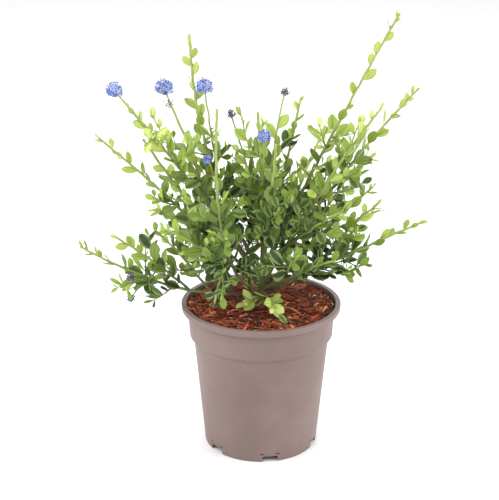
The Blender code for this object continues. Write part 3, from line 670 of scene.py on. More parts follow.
def scattered_pieces(dice, count, lengths, width_share, lift, steps, sides, flat_range):
    """Short bent tubes lying on the mulch.

    A place is drawn evenly over the disc, the piece lies along a random level direction with a small
    pitch, and its middle sags or arches by a share of its length. Its radius tapers to both ends and
    is jittered ring by ring. Each piece's u starts further on than the last one's, so that no two show
    the same stretch of the pattern.
    """
    radius = MULCH_REACH * np.sqrt(dice.random(count))
    angle = dice.random(count) * 2 * np.pi
    length = np.exp(dice.normal(np.log(lengths[0]), lengths[1], count)).clip(lengths[2], lengths[3])
    width = np.minimum(length * dice.uniform(*width_share, count), WIDEST_PIECE)
    yaw = dice.random(count) * 2 * np.pi
    pitch = dice.normal(0.0, PITCH_CHANCE, count)
    near_wall = radius + length / 2 > MULCH_REACH
    yaw = np.where(near_wall, angle + np.pi / 2 + dice.normal(0.0, TURN_CHANCE, count), yaw)
    radius = np.where(near_wall, np.minimum(radius, MULCH_REACH - width * 0.6), radius)
    centre = np.stack([radius * np.cos(angle), radius * np.sin(angle), mulch_height(radius)], axis=1)
    centre[:, 2] += dice.uniform(*lift, count)
    way = np.stack([np.cos(yaw) * np.cos(pitch), np.sin(yaw) * np.cos(pitch), np.sin(pitch)], axis=1)
    side = np.stack([-np.sin(yaw), np.cos(yaw), np.zeros(count)], axis=1)
    t = np.linspace(-0.5, 0.5, steps)[None, :, None]
    bend = dice.normal(0.0, BEND_CHANCE, (count, 1, 1)) * side[:, None]
    bend = bend + dice.normal(0.0, BEND_CHANCE, (count, 1, 1)) * UP
    paths = centre[:, None] + length[:, None, None] * (t * way[:, None] + (0.25 - t**2) * bend)
    taper = 1.0 - 0.55 * np.abs(2 * t[..., 0]) ** 2.5
    radii = width[:, None] / 2 * taper * dice.uniform(0.75, 1.15, (count, steps))
    spread = np.hypot(paths[..., 0], paths[..., 1])
    pull = np.minimum(1.0, (MULCH_REACH - radii) / np.maximum(spread, 1e-9))
    paths[..., :2] *= pull[..., None]
    tilt = unit(dice.normal(0.0, TILT_CHANCE, (count, 3)) + UP)
    points, faces, uv = tubes(paths, radii, sides, dice.uniform(*flat_range, count), tilt)
    uv[:, 0] += np.repeat(np.arange(count) * UV_STEP % 1.0, len(uv) // count)
    return points, faces, uv


# Each kind: count, length (middle, spread, least, most), width share, lift, steps, sides, flatness.
FLAKES = (1300, (0.0090, 0.40, 0.004, 0.022), (0.28, 0.55), (-0.0016, 0.0024), 4, 5, (0.16, 0.4))
SPLINTERS = (2300, (0.0090, 0.45, 0.003, 0.026), (0.10, 0.22), (-0.0012, 0.0030), 4, 4, (0.35, 0.8))
FIBRES = (2200, (0.0065, 0.45, 0.003, 0.018), (0.04, 0.08), (-0.0006, 0.0032), 4, 3, (0.6, 1.0))
SEED = 5805
bark_dice = np.random.default_rng(SEED)
bark_parts = []
for kind in (FLAKES, SPLINTERS, FIBRES):
    points, faces, uv = scattered_pieces(bark_dice, *kind)
    tints = bark_dice.choice(len(chip_tints), kind[0], p=CHIP_SHARES)
    bark_parts.append((points, faces, uv, per_face(tints, faces, kind[0])))
bark_points, bark_faces, bark_uv, bark_numbers = join(bark_parts)
bark = mesh_piece("bark_mulch", bark_points, bark_faces, chip_tints, bark_numbers, bark_uv, 40.0)
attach(bark, "root")
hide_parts("mulch")

# %% [markdown]
# ## Where the plant reaches
# The plant is described by the places of its shoot tips. Each mass of foliage has one limb from the
# trunk and one leader that runs on from it. Other long shoots fork off the leader. A shoot is an arch
# from its foot to its tip. This is the solid model's table and rule with a few finer shoots added, so
# that the dressed plant fills the same space.

# %% Shoots and masses
TRUNK_HEIGHT = 0.0480
TRUNK_RADIUS = 0.0062
TRUNK_TIP_RADIUS = 0.0030
TRUNK_FLARE = 0.0040
TRUNK_FLARE_HEIGHT = 0.0070
TRUNK_LEAN = np.array([0.0030, 0.0040, 0.0])
LIMB_RADIUS = 0.0026
LIMB_TIP_RADIUS = 0.0017
LINE_STEPS = 48


@dataclass
class Shoot:
    """One long shoot, by the place of its tip.

    fork is the share of the leader at which it leaves it, bow its arch above the straight line and
    sweep its arch outwards, as shares of its length, bare the share that has no leaves at its foot,
    stalk the bare share under its tip, end what it carries there, head the radius of that flower or
    bud, and count how many florets it has where they are few.
    A fine shoot is thin and has no sprigs of its own, foot is the radius of a stout one's foot,
    spacing stretches the gaps between its leaves, and youth makes its leaves' tints younger, or older if
    negative; front_low's large youth is partly young colour and partly painted light.
    """

    tip: tuple
    end: str = "leaves"
    fork: float = 0.3
    bow: float = 0.05
    sweep: float = 0.0
    bare: float = 0.12
    stalk: float = 0.0
    head: float = 0.0
    count: int = 0
    hangs: bool = False
    fine: bool = False
    foot: float = 0.0
    spacing: float = 1.0
    youth: float = 0.0


@dataclass
class Mass:
    """One mass of foliage.

    rise is the height at which its limb leaves the trunk, and limb that limb's length. The first of
    its shoots is the leader, which runs on from the limb. It carries so many sprigs, and each other
    shoot half as many.
    """

    name: str
    rise: float
    limb: float
    sprigs: int
    shoots: list


MASSES = [
    Mass("tall_right", 0.036, 0.032, 12, [
        Shoot((0.1385, 0.025, 0.461), bow=0.04, spacing=1.6, youth=-1.6),
    ]),
    Mass("right", 0.027, 0.030, 12, [
        Shoot((0.1555, -0.015, 0.3935), spacing=1.3, youth=-1.0),
        Shoot((0.105, -0.005, 0.345), fork=0.45),
        Shoot((0.0942, -0.018, 0.3145), fork=0.12, bow=-0.20, fine=True),
    ]),
    Mass("right_front", 0.017, 0.028, 12, [
        Shoot((0.1125, -0.070, 0.386), youth=-0.8),
        Shoot((0.084, -0.080, 0.290), fork=0.12),
        Shoot((0.0946, -0.062, 0.3735), fork=0.70, bow=-0.05, fine=True),
    ]),
    Mass("right_low", 0.007, 0.034, 10, [
        Shoot((0.1655, -0.020, 0.2555), bow=0.02, youth=-0.6),
        Shoot((0.092, -0.030, 0.203), fork=0.10),
        Shoot((0.120, -0.005, 0.270), fork=0.15),
        Shoot((0.0887, 0.0, 0.1955), fork=0.22, bow=-0.05, fine=True),
    ]),
    Mass("right_back", 0.013, 0.030, 10, [
        Shoot((0.1215, 0.060, 0.269), bow=0.02),
        Shoot((0.1278, 0.040, 0.249), fork=0.35),
        Shoot((0.085, 0.055, 0.310), fork=0.2),
    ]),
    Mass("centre", 0.048, 0.0, 14, [
        Shoot((-0.004, -0.005, 0.367), end="cut", bare=0.05, stalk=0.2),
        Shoot((0.041, 0.035, 0.373), fork=0.08, bow=-0.12),
        Shoot((0.024, 0.030, 0.380), end="bud", stalk=0.3),
        Shoot((0.0021, -0.030, 0.3476), end="flower", fork=0.25, stalk=0.4, head=0.0074),
        Shoot((-0.031, 0.010, 0.3615), end="bud", fork=0.2, stalk=0.3),
        Shoot((-0.0219, 0.005, 0.3647), fork=0.45, bow=-0.06, fine=True),
    ]),
    Mass("upright_left", 0.034, 0.030, 13, [
        Shoot((-0.0726, 0.030, 0.432), bow=-0.08, sweep=0.14, youth=-1.4),
        Shoot((-0.0583, 0.010, 0.389), end="flower", stalk=0.55, head=0.0090),
        Shoot((-0.0547, -0.030, 0.324), "flower", fork=0.25, stalk=0.5, head=0.0044, count=18, fine=True),
    ]),
    Mass("left_high", 0.027, 0.030, 10, [
        Shoot((-0.1366, -0.010, 0.3774), bow=0.03, youth=-1.2),
        Shoot((-0.0987, 0.010, 0.388), end="flower", stalk=0.55, head=0.0094),
        Shoot((-0.1443, -0.035, 0.395), end="flower", fork=0.45, stalk=0.5, head=0.0082),
        Shoot((-0.0934, 0.008, 0.3735), end="bud", stalk=0.55, head=0.0062, count=15, fine=True),
        Shoot((-0.1104, -0.005, 0.364), fork=0.40, bow=-0.08, fine=True),
    ]),
    Mass("left", 0.020, 0.030, 11, [
        Shoot((-0.1702, 0.030, 0.332), bow=0.02, youth=-1.0),
        Shoot((-0.1206, 0.0, 0.3378), end="cut", fork=0.12, bow=-0.04, stalk=0.25, foot=0.0021),
        Shoot((-0.1100, 0.005, 0.262), fork=0.08),
    ]),
    Mass("left_low", 0.008, 0.034, 10, [
        Shoot((-0.1902, 0.0, 0.222), bow=-0.17, youth=-0.8),
        Shoot((-0.150, -0.022, 0.240), fork=0.25),
        Shoot((-0.136, -0.022, 0.195), end="bud", fork=0.5, bow=0.2, stalk=0.7),
        Shoot((-0.115, 0.030, 0.232), fork=0.10),
        Shoot((-0.1365, -0.020, 0.1716), end="bud", fork=0.5, bow=0.1, stalk=0.7, fine=True),
    ]),
    Mass("front_left", 0.013, 0.028, 12, [
        Shoot((-0.0436, -0.055, 0.3817), end="cut", bow=-0.34, sweep=0.22, stalk=0.3),
        Shoot((-0.0486, -0.052, 0.178), fork=0.22, bow=0.25, hangs=True, spacing=0.7, youth=-1.2),
        Shoot((-0.098, -0.060, 0.262), fork=0.16),
    ]),
    Mass("front", 0.027, 0.028, 14, [
        Shoot((0.0133, -0.060, 0.348), end="cut", bow=-0.10, stalk=0.2),
    ]),
    Mass("front_right", 0.012, 0.028, 9, [
        Shoot((0.0733, -0.062, 0.2286), bow=0.06),
        Shoot((0.035, -0.095, 0.246), fork=0.1),
    ]),
    Mass("back_left", 0.014, 0.030, 11, [
        Shoot((-0.088, 0.105, 0.300), bow=0.02),
        Shoot((-0.120, 0.085, 0.235), fork=0.2),
    ]),
    Mass("back", 0.027, 0.030, 12, [
        Shoot((0.002, 0.100, 0.334), bow=0.0),
        Shoot((-0.030, 0.140, 0.270), fork=0.15),
    ]),
    Mass("back_right", 0.020, 0.030, 11, [
        Shoot((0.070, 0.120, 0.318), bow=0.02),
        Shoot((0.060, 0.145, 0.230), fork=0.12),
    ]),
    # Painted light: front_low's leaves get the palest tints, partly their young colour and partly painted
    # light for the light that falls on them.
    Mass("front_low", 0.006, 0.016, 0, [
        Shoot((0.014, -0.048, 0.172), bow=0.16, bare=0.0, hangs=True, spacing=0.35, youth=3.6),
        Shoot((-0.016, -0.040, 0.175), fork=0.1, bare=0.0, hangs=True, spacing=0.35, youth=3.6),
    ]),
]
print(len(MASSES), "masses,", sum(len(mass.shoots) for mass in MASSES), "long shoots")

# %% [markdown]
# A line is worked out as an array of points. The arch is a quadratic curve whose middle point is raised
# by the bow and pushed outwards by the sweep. Young shoots also zigzag a little from leaf to leaf, which
# keeps them from looking like wire.


# %% Lines
def arch(start, tip, bow, count, sweep=0.0):
    """(1-t)^2 start + 2 t (1-t) middle + t^2 tip.

    The middle is raised by bow and moved outwards by sweep, as shares of the length.
    """
    run = tip - start
    length = np.linalg.norm(run)
    outward = unit(run * (1.0, 1.0, 0.0))
    middle = (start + tip) / 2 + (UP * bow + outward * sweep) * length
    t = np.linspace(0.0, 1.0, count)[:, None]
    return start * (1 - t) ** 2 + middle * 2 * t * (1 - t) + tip * t**2


def run_along(line):
    """The length from the line's start to each of its points."""
    return np.concatenate([[0.0], np.cumsum(np.linalg.norm(np.diff(line, axis=0), axis=1))])


def stretch(line, first, last, count):
    """Evenly spaced points of the line between two lengths along it."""
    runs = run_along(line)
    wanted = np.linspace(first, last, count)
    return np.stack([np.interp(wanted, runs, line[:, axis]) for axis in range(3)], axis=1)


def trunk_at(rise):
    """The trunk's middle line at a height above its foot: it leans by the square of the height."""
    foot = np.array([0.0, 0.0, mulch_height(0.0) + GAP])
    share = rise / TRUNK_HEIGHT
    return foot + UP * rise + TRUNK_LEAN * share * share


def leader_line(mass):
    leader = mass.shoots[0]
    return arch(trunk_at(mass.rise), np.array(leader.tip), leader.bow, LINE_STEPS, leader.sweep)


def shoot_lines(mass):
    """The middle lines of a mass's long shoots, the leader's own first, from the limb's tip on."""
    whole = leader_line(mass)
    lines = [stretch(whole, mass.limb, run_along(whole)[-1], LINE_STEPS)]
    for shoot in mass.shoots[1:]:
        foot = lines[0][round(shoot.fork * (LINE_STEPS - 1))]
        lines.append(arch(foot, np.array(shoot.tip), shoot.bow, LINE_STEPS, shoot.sweep))
    return lines


# %% [markdown]
# ## Trunk and limbs
# The short trunk and the limbs are young wood: olive to grey-brown, with fine lengthwise cracks and
# small pale pores. They are one mesh of dense tubes. The cracks are sums of sine waves round and along
# each tube, added to its radius, and the finish repeats them more finely.


# %% Young bark
BARK_WAVES = ((3, 9), (5, -14), (8, 21), (11, -6), (2, 30))


def woody_relief(dice, steps, sides, depth):
    """1 plus waves in the angle a and the share s along: depth sin(m a + n s + phase) / sqrt(m)."""
    s = np.linspace(0.0, 1.0, steps)[:, None]
    a = 2 * np.pi * np.arange(sides)[None] / sides
    relief = np.ones((steps, sides))
    for m, n in BARK_WAVES:
        relief += depth * np.sin(m * a + n * s + dice.uniform(0, 6.28)) / math.sqrt(m)
    return relief


young_bark = Finish("young_bark", Roughness=0.8)
bark_place = young_bark.place()
cracks = young_bark.noise(young_bark.stretched(bark_place, (1.0, 1.0, 0.22)), 900.0, 6.0, 0.65)
patches = young_bark.noise(bark_place, 160.0, 3.0)
specks = young_bark.noise(young_bark.stretched(bark_place, (0.5, 0.5, 1.6)), 700.0, 2.0)
pores = young_bark.spread(specks, 0.66, 0.74)
bark_rise = young_bark.node("ShaderNodeSeparateXYZ", None, {0: bark_place}, "Z")
greening = young_bark.spread(bark_rise + 0.03 * patches, POT_HEIGHT + 0.012, POT_HEIGHT + 0.060)
ridges = young_bark.spread(cracks, 0.35, 0.65)
brown = young_bark.blend(ridges, linear(58, 44, 28), linear(112, 94, 62))
olive = young_bark.blend(ridges, linear(66, 82, 34), linear(112, 132, 62))
wood = young_bark.blend(greening, brown, olive)
young_bark.colour(young_bark.blend(pores * 0.5, wood, linear(170, 158, 120)))
young_bark.bump(cracks + 0.6 * pores, 0.8, 0.0005)

# %% Trunk and limbs
WOOD_SIDES = 20
TRUNK_STEPS = 90
LIMB_STEPS = 48
LIMB_OVERLAP = 0.0008
TRUNK_CRACKS = 0.045
LIMB_CRACKS = 0.04
wood_dice = np.random.default_rng(SEED)
rises = TRUNK_HEIGHT * np.linspace(0.0, 1.0, TRUNK_STEPS) ** 1.3
trunk_path = np.stack([trunk_at(rise) for rise in rises])
trunk_radii = TRUNK_RADIUS + (TRUNK_TIP_RADIUS - TRUNK_RADIUS) * rises / TRUNK_HEIGHT
trunk_radii = trunk_radii + TRUNK_FLARE * np.exp(-rises / TRUNK_FLARE_HEIGHT)
trunk_relief = woody_relief(wood_dice, TRUNK_STEPS, 2 * WOOD_SIDES, TRUNK_CRACKS)
trunk_parts = tubes(trunk_path[None], (trunk_radii[:, None] * trunk_relief)[None], 2 * WOOD_SIDES)
limbs = [mass for mass in MASSES if mass.limb]
limb_lines = [stretch(leader_line(mass), 0.0, mass.limb + LIMB_OVERLAP, LIMB_STEPS) for mass in limbs]
limb_taper = np.linspace(LIMB_RADIUS, LIMB_TIP_RADIUS, LIMB_STEPS)[:, None]
limb_radii = [limb_taper * woody_relief(wood_dice, LIMB_STEPS, WOOD_SIDES, LIMB_CRACKS) for _ in limbs]
limb_parts = tubes(np.stack(limb_lines), np.stack(limb_radii), WOOD_SIDES)
wood_points, wood_faces, wood_uv, wood_numbers = join([
    (*trunk_parts, per_face(np.zeros(1), trunk_parts[1], 1)),
    (*limb_parts, per_face(np.zeros(len(limbs)), limb_parts[1], len(limbs))),
])
woody = mesh_piece("trunk_and_limbs", wood_points, wood_faces, [young_bark], wood_numbers, wood_uv)
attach(woody, "root")
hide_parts("trunk", *[f"limb_{mass.name}" for mass in limbs])

# %% [markdown]
# ## Growing the crown
# The rule is the solid model's, carried on to finer twigs and real leaf sizes. Leaves stand along each
# shoot a golden angle apart, smaller and brighter towards its tip. Short sprigs leave the shoot's lower
# part, and longer sprigs carry twiglets. In the axils of some leaves sits a tuft of two small ones.
# A leaf is kept only where it stays in its own mass's space, over the mulch, inside the plant's reach
# and a little apart from the last leaves, so the sky shows through where shoots are few.

# %% Sizes of the stems
LEADER_RADIUS = 0.0018
SHOOT_RADIUS = 0.0014
SHOOT_TIP_RADIUS = 0.0011
STALK_RADIUS = 0.0010
STALK_TIP_RADIUS = 0.0008
FINE_RADIUS = 0.0009
FINE_TIP_RADIUS = 0.0006
CUT_TIP_RADIUS = 0.0012
SPRIG_RADIUS = 0.0009
TWIGLET_RADIUS = 0.0006
TIP_RADIUS = 0.00045
KINK = 0.0005
SPRIG_LENGTH = 0.034
SHORTEST_SPRIG = 0.008
LONG_SPRIG = 0.020
SPRIG_FOOT_SPREAD = math.radians(82.0)
SPRIG_TOP_SPREAD = math.radians(46.0)
SPRIG_UPWARD = 0.35
SPRIG_LIFT = 0.10
SPRIG_LAST = 0.46
SPRIG_BARE = 0.18
TWIGLET_SHARES = (0.42, 0.66)
TWIGLET_LENGTH_SHARE = 0.42
TWIGLET_BARE = 0.25
GOLDEN_ANGLE = math.radians(137.5)

# %% Sizes and places of the leaves
LEAF_LENGTH = 0.0235
LEAF_TIP_SHARE = 0.50
SPRIG_LEAF_SHARE = 0.95
TWIGLET_LEAF_SHARE = 0.8
INTERNODE = 0.0116
SPRIG_INTERNODE = 0.0105
LEAF_TRIES = 3
TRY_SHRINK = 0.85
LEAF_SPACING = 0.0090
FULL_SPACING_LENGTH = 0.016
LEAF_MIDDLE = 0.55
LEAF_TILT = math.radians(40.0)
LEAF_LIFT = 0.22
LEAF_WIDTHS = (0.46, 0.60)
LEAF_BENDS = (0.02, 0.14)
LEAF_CUPS = (-0.10, 0.30)
TUFT_CHANCE = 0.45
TUFT_FROM = 0.35
TUFT_TURNS = (-0.7, 0.5)
TUFT_LEAF_SHARE = 0.5
TUFT_TILT = LEAF_TILT * 0.8
NARROW = 0.36
# The leaflets at a growing tip: share of the shoot's length, tilt and size.
TIP_LEAFLETS = (
    (0.88, 0.75, 0.50),
    (0.92, 0.60, 0.46),
    (0.955, 0.50, 0.42),
    (0.975, 0.40, 0.38),
    (0.99, 0.12, 0.36),
)
# A leaf's face looks up, away from the axis, to the lit side and along its stem, and a little anywhere.
FACE_UP = 0.35
FACE_AWAY = 0.25
FACE_LIT = 0.42
FACE_ALONG = 0.10
FACE_SCATTER = 0.40
LIT_SIDE = np.array([0.0, -1.0, 0.0])

# %% Room and tints of the leaves
SPACE_OVERLAP = 0.0035
RIM_CLEARANCE = 0.001
MULCH_CLEARANCE = 0.002
SKIRT_HEIGHT = 0.184
SKIRT_SLOPE = 0.385
REACH_ALLOWANCE = 0.003
# Leaves near the crown's heart get deeper tints: partly because they are older, partly as painted shade.
CROWN_HEART = np.array([0.0, 0.0, 0.190])
HEART_REACH = 0.055
HEART_FADE = 0.16
TINTS = 6
YOUNG_WEIGHT = 0.45
HEART_SHADE_WEIGHT = 0.68
SHOOT_YOUTH = (0.25, 0.95)
SPRIG_YOUTH = (0.10, 0.45)
SPRIG_YOUTH_RISE = 0.45
TUFT_YOUTH = 0.25
SHOOT_TINT_CHANCE = 0.3
SPRIG_TINT_CHANCE = 0.65
LEAF_TINT_CHANCE = 0.35


# %% The space of each mass
class Spaces:
    """A place belongs to the mass whose own limb and shoots pass nearest."""

    def __init__(self):
        runs = [np.concatenate([leader_line(mass)] + shoot_lines(mass)[1:]) for mass in MASSES]
        self.names = [mass.name for mass in MASSES]
        self.points = np.concatenate(runs)
        self.starts = np.cumsum([0] + [len(run) for run in runs[:-1]])

    def holds(self, name, spots, hangs):
        """Whether the spots lie in the mass's own space, over pot and mulch and within the plant's reach.

        In front, over the pot, only a hanging shoot comes lower than the crown's skirt.
        """
        gaps = np.linalg.norm(spots[:, None] - self.points[None], axis=2)
        nearest = np.minimum.reduceat(gaps, self.starts, axis=1)
        own = nearest[:, self.names.index(name)]
        if (own - nearest.min(axis=1) > SPACE_OVERLAP).any():
            return False
        radius = np.hypot(spots[:, 0], spots[:, 1])
        over_rim = radius > MULCH_REACH - MULCH_CLEARANCE
        over_mulch = mulch_height(radius) + MULCH_CLEARANCE
        floor_height = np.where(over_rim, POT_HEIGHT + RIM_CLEARANCE, over_mulch)
        if not hangs:
            skirt = SKIRT_HEIGHT - SKIRT_SLOPE * np.minimum(spots[:, 1], 0.0)
            floor_height = np.where(np.abs(spots[:, 0]) < RIM_RADIUS, skirt, floor_height)
        low = (spots < np.array(cad_low) - REACH_ALLOWANCE).any()
        high = (spots > np.array(cad_high) + REACH_ALLOWANCE).any()
        return bool((spots[:, 2] > floor_height).all() and not low and not high)


# %% The growing rule
def side_way(tangent, turn):
    """A unit vector square to the tangent, at an angle round it."""
    across = np.cross(tangent, UP)
    if np.linalg.norm(across) < 0.1:
        across = np.cross(tangent, (1.0, 0.0, 0.0))
    across = unit(across)
    return across * math.cos(turn) + np.cross(tangent, across) * math.sin(turn)


class Growth:
    """Grows one mass: its stems by kind, and its leaves with their frames, sizes and tints."""

    def __init__(self, mass, spaces):
        self.mass = mass
        self.spaces = spaces
        self.dice = random.Random(f"{SEED} {mass.name}")
        self.stems = {"leader": [], "sprig": [], "twiglet": []}
        self.leaves = []
        self.middles = []
        self.hangs = False

    def jitter(self, width=0.2):
        return self.dice.uniform(1.0 - width, 1.0 + width)

    def kinked(self, line):
        """The line with a small sideways wave that has a turn at each leaf."""
        count = len(line)
        length = run_along(line)[-1]
        s = np.linspace(0.0, 1.0, count)
        phase = self.dice.uniform(0.0, 2 * math.pi)
        wave = KINK * np.sin(np.pi * s * length / INTERNODE + phase) * np.sqrt(np.sin(np.pi * s).clip(0.0))
        tangent = unit(line[-1] - line[0])
        first, second = side_way(tangent, phase), side_way(tangent, phase + math.pi / 2)
        slow = np.sin(2 * np.pi * s + phase) * KINK * 2.0 * np.sin(np.pi * s)
        return line + wave[:, None] * first + slow[:, None] * second

    def grow(self):
        for number, (line, shoot) in enumerate(zip(shoot_lines(self.mass), self.mass.shoots)):
            self.hangs = shoot.hangs
            line = self.kinked(line)
            foot_radius = shoot.foot or (SHOOT_RADIUS if number else LEADER_RADIUS)
            tip_radius = SHOOT_TIP_RADIUS
            if shoot.fine:
                foot_radius, tip_radius = FINE_RADIUS, FINE_TIP_RADIUS
            elif shoot.end in ("flower", "bud"):
                foot_radius, tip_radius = STALK_RADIUS, STALK_TIP_RADIUS
            elif shoot.end == "cut":
                tip_radius = CUT_TIP_RADIUS
            self.stems["leader"].append((line, foot_radius, tip_radius))
            spray = shoot.youth + self.dice.gauss(0.0, SHOOT_TINT_CHANCE)
            last = 1.0 - shoot.stalk
            spacing = INTERNODE * shoot.spacing
            self.add_leaves(line, spacing, shoot.bare, last, LEAF_LENGTH, SHOOT_YOUTH, spray)
            if shoot.end == "leaves":
                self.add_tip(line, spray)
            if not shoot.fine:
                self.add_sprigs(line, self.mass.sprigs // (2 if number else 1), min(SPRIG_LAST, last))
        return self

    def tint(self, young, middle, spray):
        """0 for a deep old leaf to 5 for a pale new one, by its age, its place and its spray; near the
        heart a deeper tint is partly age and partly painted shade.
        """
        # Painted shade: the nearer a leaf is to the heart, the deeper its tint.
        from_heart = np.linalg.norm(middle - CROWN_HEART) - HEART_REACH
        outer = min(1.0, max(0.0, from_heart / HEART_FADE))
        share = YOUNG_WEIGHT * young * (0.5 + 0.5 * outer) + HEART_SHADE_WEIGHT * outer
        tint = round((TINTS - 1) * share + spray + self.dice.gauss(0.0, LEAF_TINT_CHANCE))
        return min(TINTS - 1, max(0, tint))

    def add_sprigs(self, line, count, last):
        """Sprigs a golden angle apart, up to a share of the shoot; one with too few leaves is dropped."""
        turn = self.dice.uniform(0.0, 2 * math.pi)
        for i in range(count):
            share = last * i / max(1, count - 1)
            index = round(share * (len(line) - 1))
            tangent = unit(line[min(index + 1, len(line) - 1)] - line[max(index - 1, 0)])
            turn += GOLDEN_ANGLE
            spread = (SPRIG_FOOT_SPREAD + (SPRIG_TOP_SPREAD - SPRIG_FOOT_SPREAD) * share) * self.jitter()
            way = tangent * math.cos(spread) + side_way(tangent, turn) * math.sin(spread)
            way = unit(way + UP * SPRIG_UPWARD)
            length = SPRIG_LENGTH * (1.0 - 0.5 * share) * self.jitter(0.35)
            sprig = self.inside(arch(line[index], line[index] + way * length, -SPRIG_LIFT, 12))
            length = run_along(sprig)[-1]
            if length < SHORTEST_SPRIG:
                continue
            spray = self.dice.gauss(0.0, SPRIG_TINT_CHANCE)
            youth = [start + SPRIG_YOUTH_RISE * share for start in SPRIG_YOUTH]
            before = len(self.leaves)
            leaf_length = LEAF_LENGTH * SPRIG_LEAF_SHARE
            self.add_leaves(sprig, SPRIG_INTERNODE, SPRIG_BARE, 1.0, leaf_length, youth, spray)
            self.add_tip(sprig, spray)
            if len(self.leaves) - before < 2:
                del self.leaves[before:]
                del self.middles[before:]
                continue
            self.stems["sprig"].append((sprig, SPRIG_RADIUS, TIP_RADIUS))
            if length > LONG_SPRIG:
                self.add_twiglets(sprig, length, spray, youth)

    def add_twiglets(self, sprig, length, spray, youth):
        """Short twigs off a long sprig, in turn to its two sides."""
        turn = self.dice.uniform(0.0, 2 * math.pi)
        for share in TWIGLET_SHARES:
            turn += math.pi * self.jitter(0.3)
            index = round(share * (len(sprig) - 1))
            tangent = unit(sprig[index + 1] - sprig[index - 1])
            way = unit(tangent * 0.75 + side_way(tangent, turn) * 0.7 + UP * 0.15)
            tip = sprig[index] + way * length * TWIGLET_LENGTH_SHARE * self.jitter()
            twiglet = self.inside(arch(sprig[index], tip, -0.05, 6))
            before = len(self.leaves)
            internode = SPRIG_INTERNODE * TWIGLET_LEAF_SHARE
            leaf_length = LEAF_LENGTH * TWIGLET_LEAF_SHARE
            self.add_leaves(twiglet, internode, TWIGLET_BARE, 1.0, leaf_length, youth, spray)
            if len(self.leaves) > before:
                self.stems["twiglet"].append((twiglet, TWIGLET_RADIUS, TIP_RADIUS))

    def inside(self, line):
        """The part of a line that stays in its mass's space."""
        for index in range(2, len(line)):
            if not self.spaces.holds(self.mass.name, line[index : index + 1], self.hangs):
                return stretch(line, 0.0, run_along(line)[index - 1], len(line))
        return line

    def add_leaves(self, line, internode, first, last, size, youth, spray):
        """Leaves a golden angle apart, with a few tries at each node, and small tufts in some axils."""
        length = run_along(line)[-1]
        turn = self.dice.uniform(0.0, 2 * math.pi)
        share = first
        while share < last * 0.97:
            leaf_size = size * (1.0 - (1.0 - LEAF_TIP_SHARE) * share**1.5) * self.jitter()
            young = youth[0] + (youth[1] - youth[0]) * share
            for _ in range(LEAF_TRIES):
                turn += GOLDEN_ANGLE
                if self.try_leaf(line, share, turn, leaf_size, LEAF_TILT, young, spray):
                    break
                leaf_size *= TRY_SHRINK
            if share > TUFT_FROM and self.dice.random() < TUFT_CHANCE:
                for aside in TUFT_TURNS:
                    width = NARROW * self.jitter()
                    length_here = leaf_size * TUFT_LEAF_SHARE
                    age = young + TUFT_YOUTH
                    self.try_leaf(line, share, turn + aside, length_here, TUFT_TILT, age, spray, width)
            share += internode * (1.0 - 0.3 * share) * self.jitter() / max(length, 1e-6)

    def add_tip(self, line, spray):
        """The narrow folded leaflets at the end of a growing shoot."""
        turn = self.dice.uniform(0.0, 2 * math.pi)
        for i, (share, tilt, size) in enumerate(TIP_LEAFLETS):
            length = LEAF_LENGTH * (size * self.jitter())
            width = NARROW * self.jitter()
            self.try_leaf(line, share, turn + GOLDEN_ANGLE * i, length, tilt, 1.0, spray, width)

    def try_leaf(self, line, share, turn, length, tilt, young, spray, width=0.0):
        """Adds a leaf at a share of the line if it has room, and says whether it had."""
        place = share * (len(line) - 1)
        index = min(len(line) - 2, int(place))
        foot = line[index] + (line[index + 1] - line[index]) * (place - index)
        tangent = unit(line[index + 1] - line[index])
        tilt = tilt * self.jitter(0.25)
        way = unit(tangent * math.cos(tilt) + side_way(tangent, turn) * math.sin(tilt) + UP * LEAF_LIFT)
        away = unit(foot * (1.0, 1.0, 0.0))
        chance = np.array([self.dice.gauss(0.0, FACE_SCATTER) for _ in range(3)])
        face = unit(UP * FACE_UP + away * FACE_AWAY + LIT_SIDE * FACE_LIT + tangent * FACE_ALONG + chance)
        middle = foot + way * length * LEAF_MIDDLE
        if self.middles:
            gaps = np.linalg.norm(np.array(self.middles) - middle, axis=1)
            if gaps.min() < LEAF_SPACING * min(1.0, length / FULL_SPACING_LENGTH):
                return False
        if not self.spaces.holds(self.mass.name, np.array([middle, foot + way * length]), self.hangs):
            return False
        tint = self.tint(young, middle, spray)
        width = width or self.dice.uniform(*LEAF_WIDTHS)
        bend = self.dice.uniform(*LEAF_BENDS)
        cup = self.dice.uniform(*LEAF_CUPS)
        self.leaves.append((*foot, *way, *face, length, width, bend, cup, tint))
        self.middles.append(middle)
        return True


# One old leaf has dropped on the bark: its foot, way and face, then length, width, bend, cup and tint.
FALLEN_FOOT = (0.0262, -0.0620, 0.1595)
FALLEN_WAY = (-0.60, 0.45, 0.62)
FALLEN_FACE = (0.30, -0.85, 0.45)
FALLEN_LEAF = (*FALLEN_FOOT, *FALLEN_WAY, *FALLEN_FACE, 0.0140, 0.50, 0.10, 0.35, 1)

spaces = Spaces()
grown = [Growth(mass, spaces).grow() for mass in MASSES]
grown[-1].leaves.append(FALLEN_LEAF)
print(sum(len(growth.leaves) for growth in grown), "leaves")
print(sum(len(stems) for growth in grown for stems in growth.stems.values()), "stems")

# %% [markdown]
# ## Stems
# A stem tapers to its tip and swells a little at each leaf. Young wood goes from olive at the foot to
# light green at the tip, so the finish reads the share along the stem from the UV map.


# %% Stem finishes
def stem_finish(name, foot_colour, tip_colour, shine):
    stem = Finish(name, Roughness=shine)
    share = stem.node("ShaderNodeSeparateXYZ", None, {0: stem.along()}, "X")
    streak = stem.noise(stem.stretched(stem.place(), (1.0, 1.0, 0.3)), 700.0, 4.0)
    ageing = stem.spread(share + 0.2 * streak, 0.05, 0.95)
    green = stem.blend(ageing, foot_colour, tip_colour)
    stem.colour(stem.blend(stem.spread(streak, 0.45, 0.75) * 0.3, green, linear(196, 204, 140)))
    stem.bump(streak, 0.5, 0.0002)
    return stem


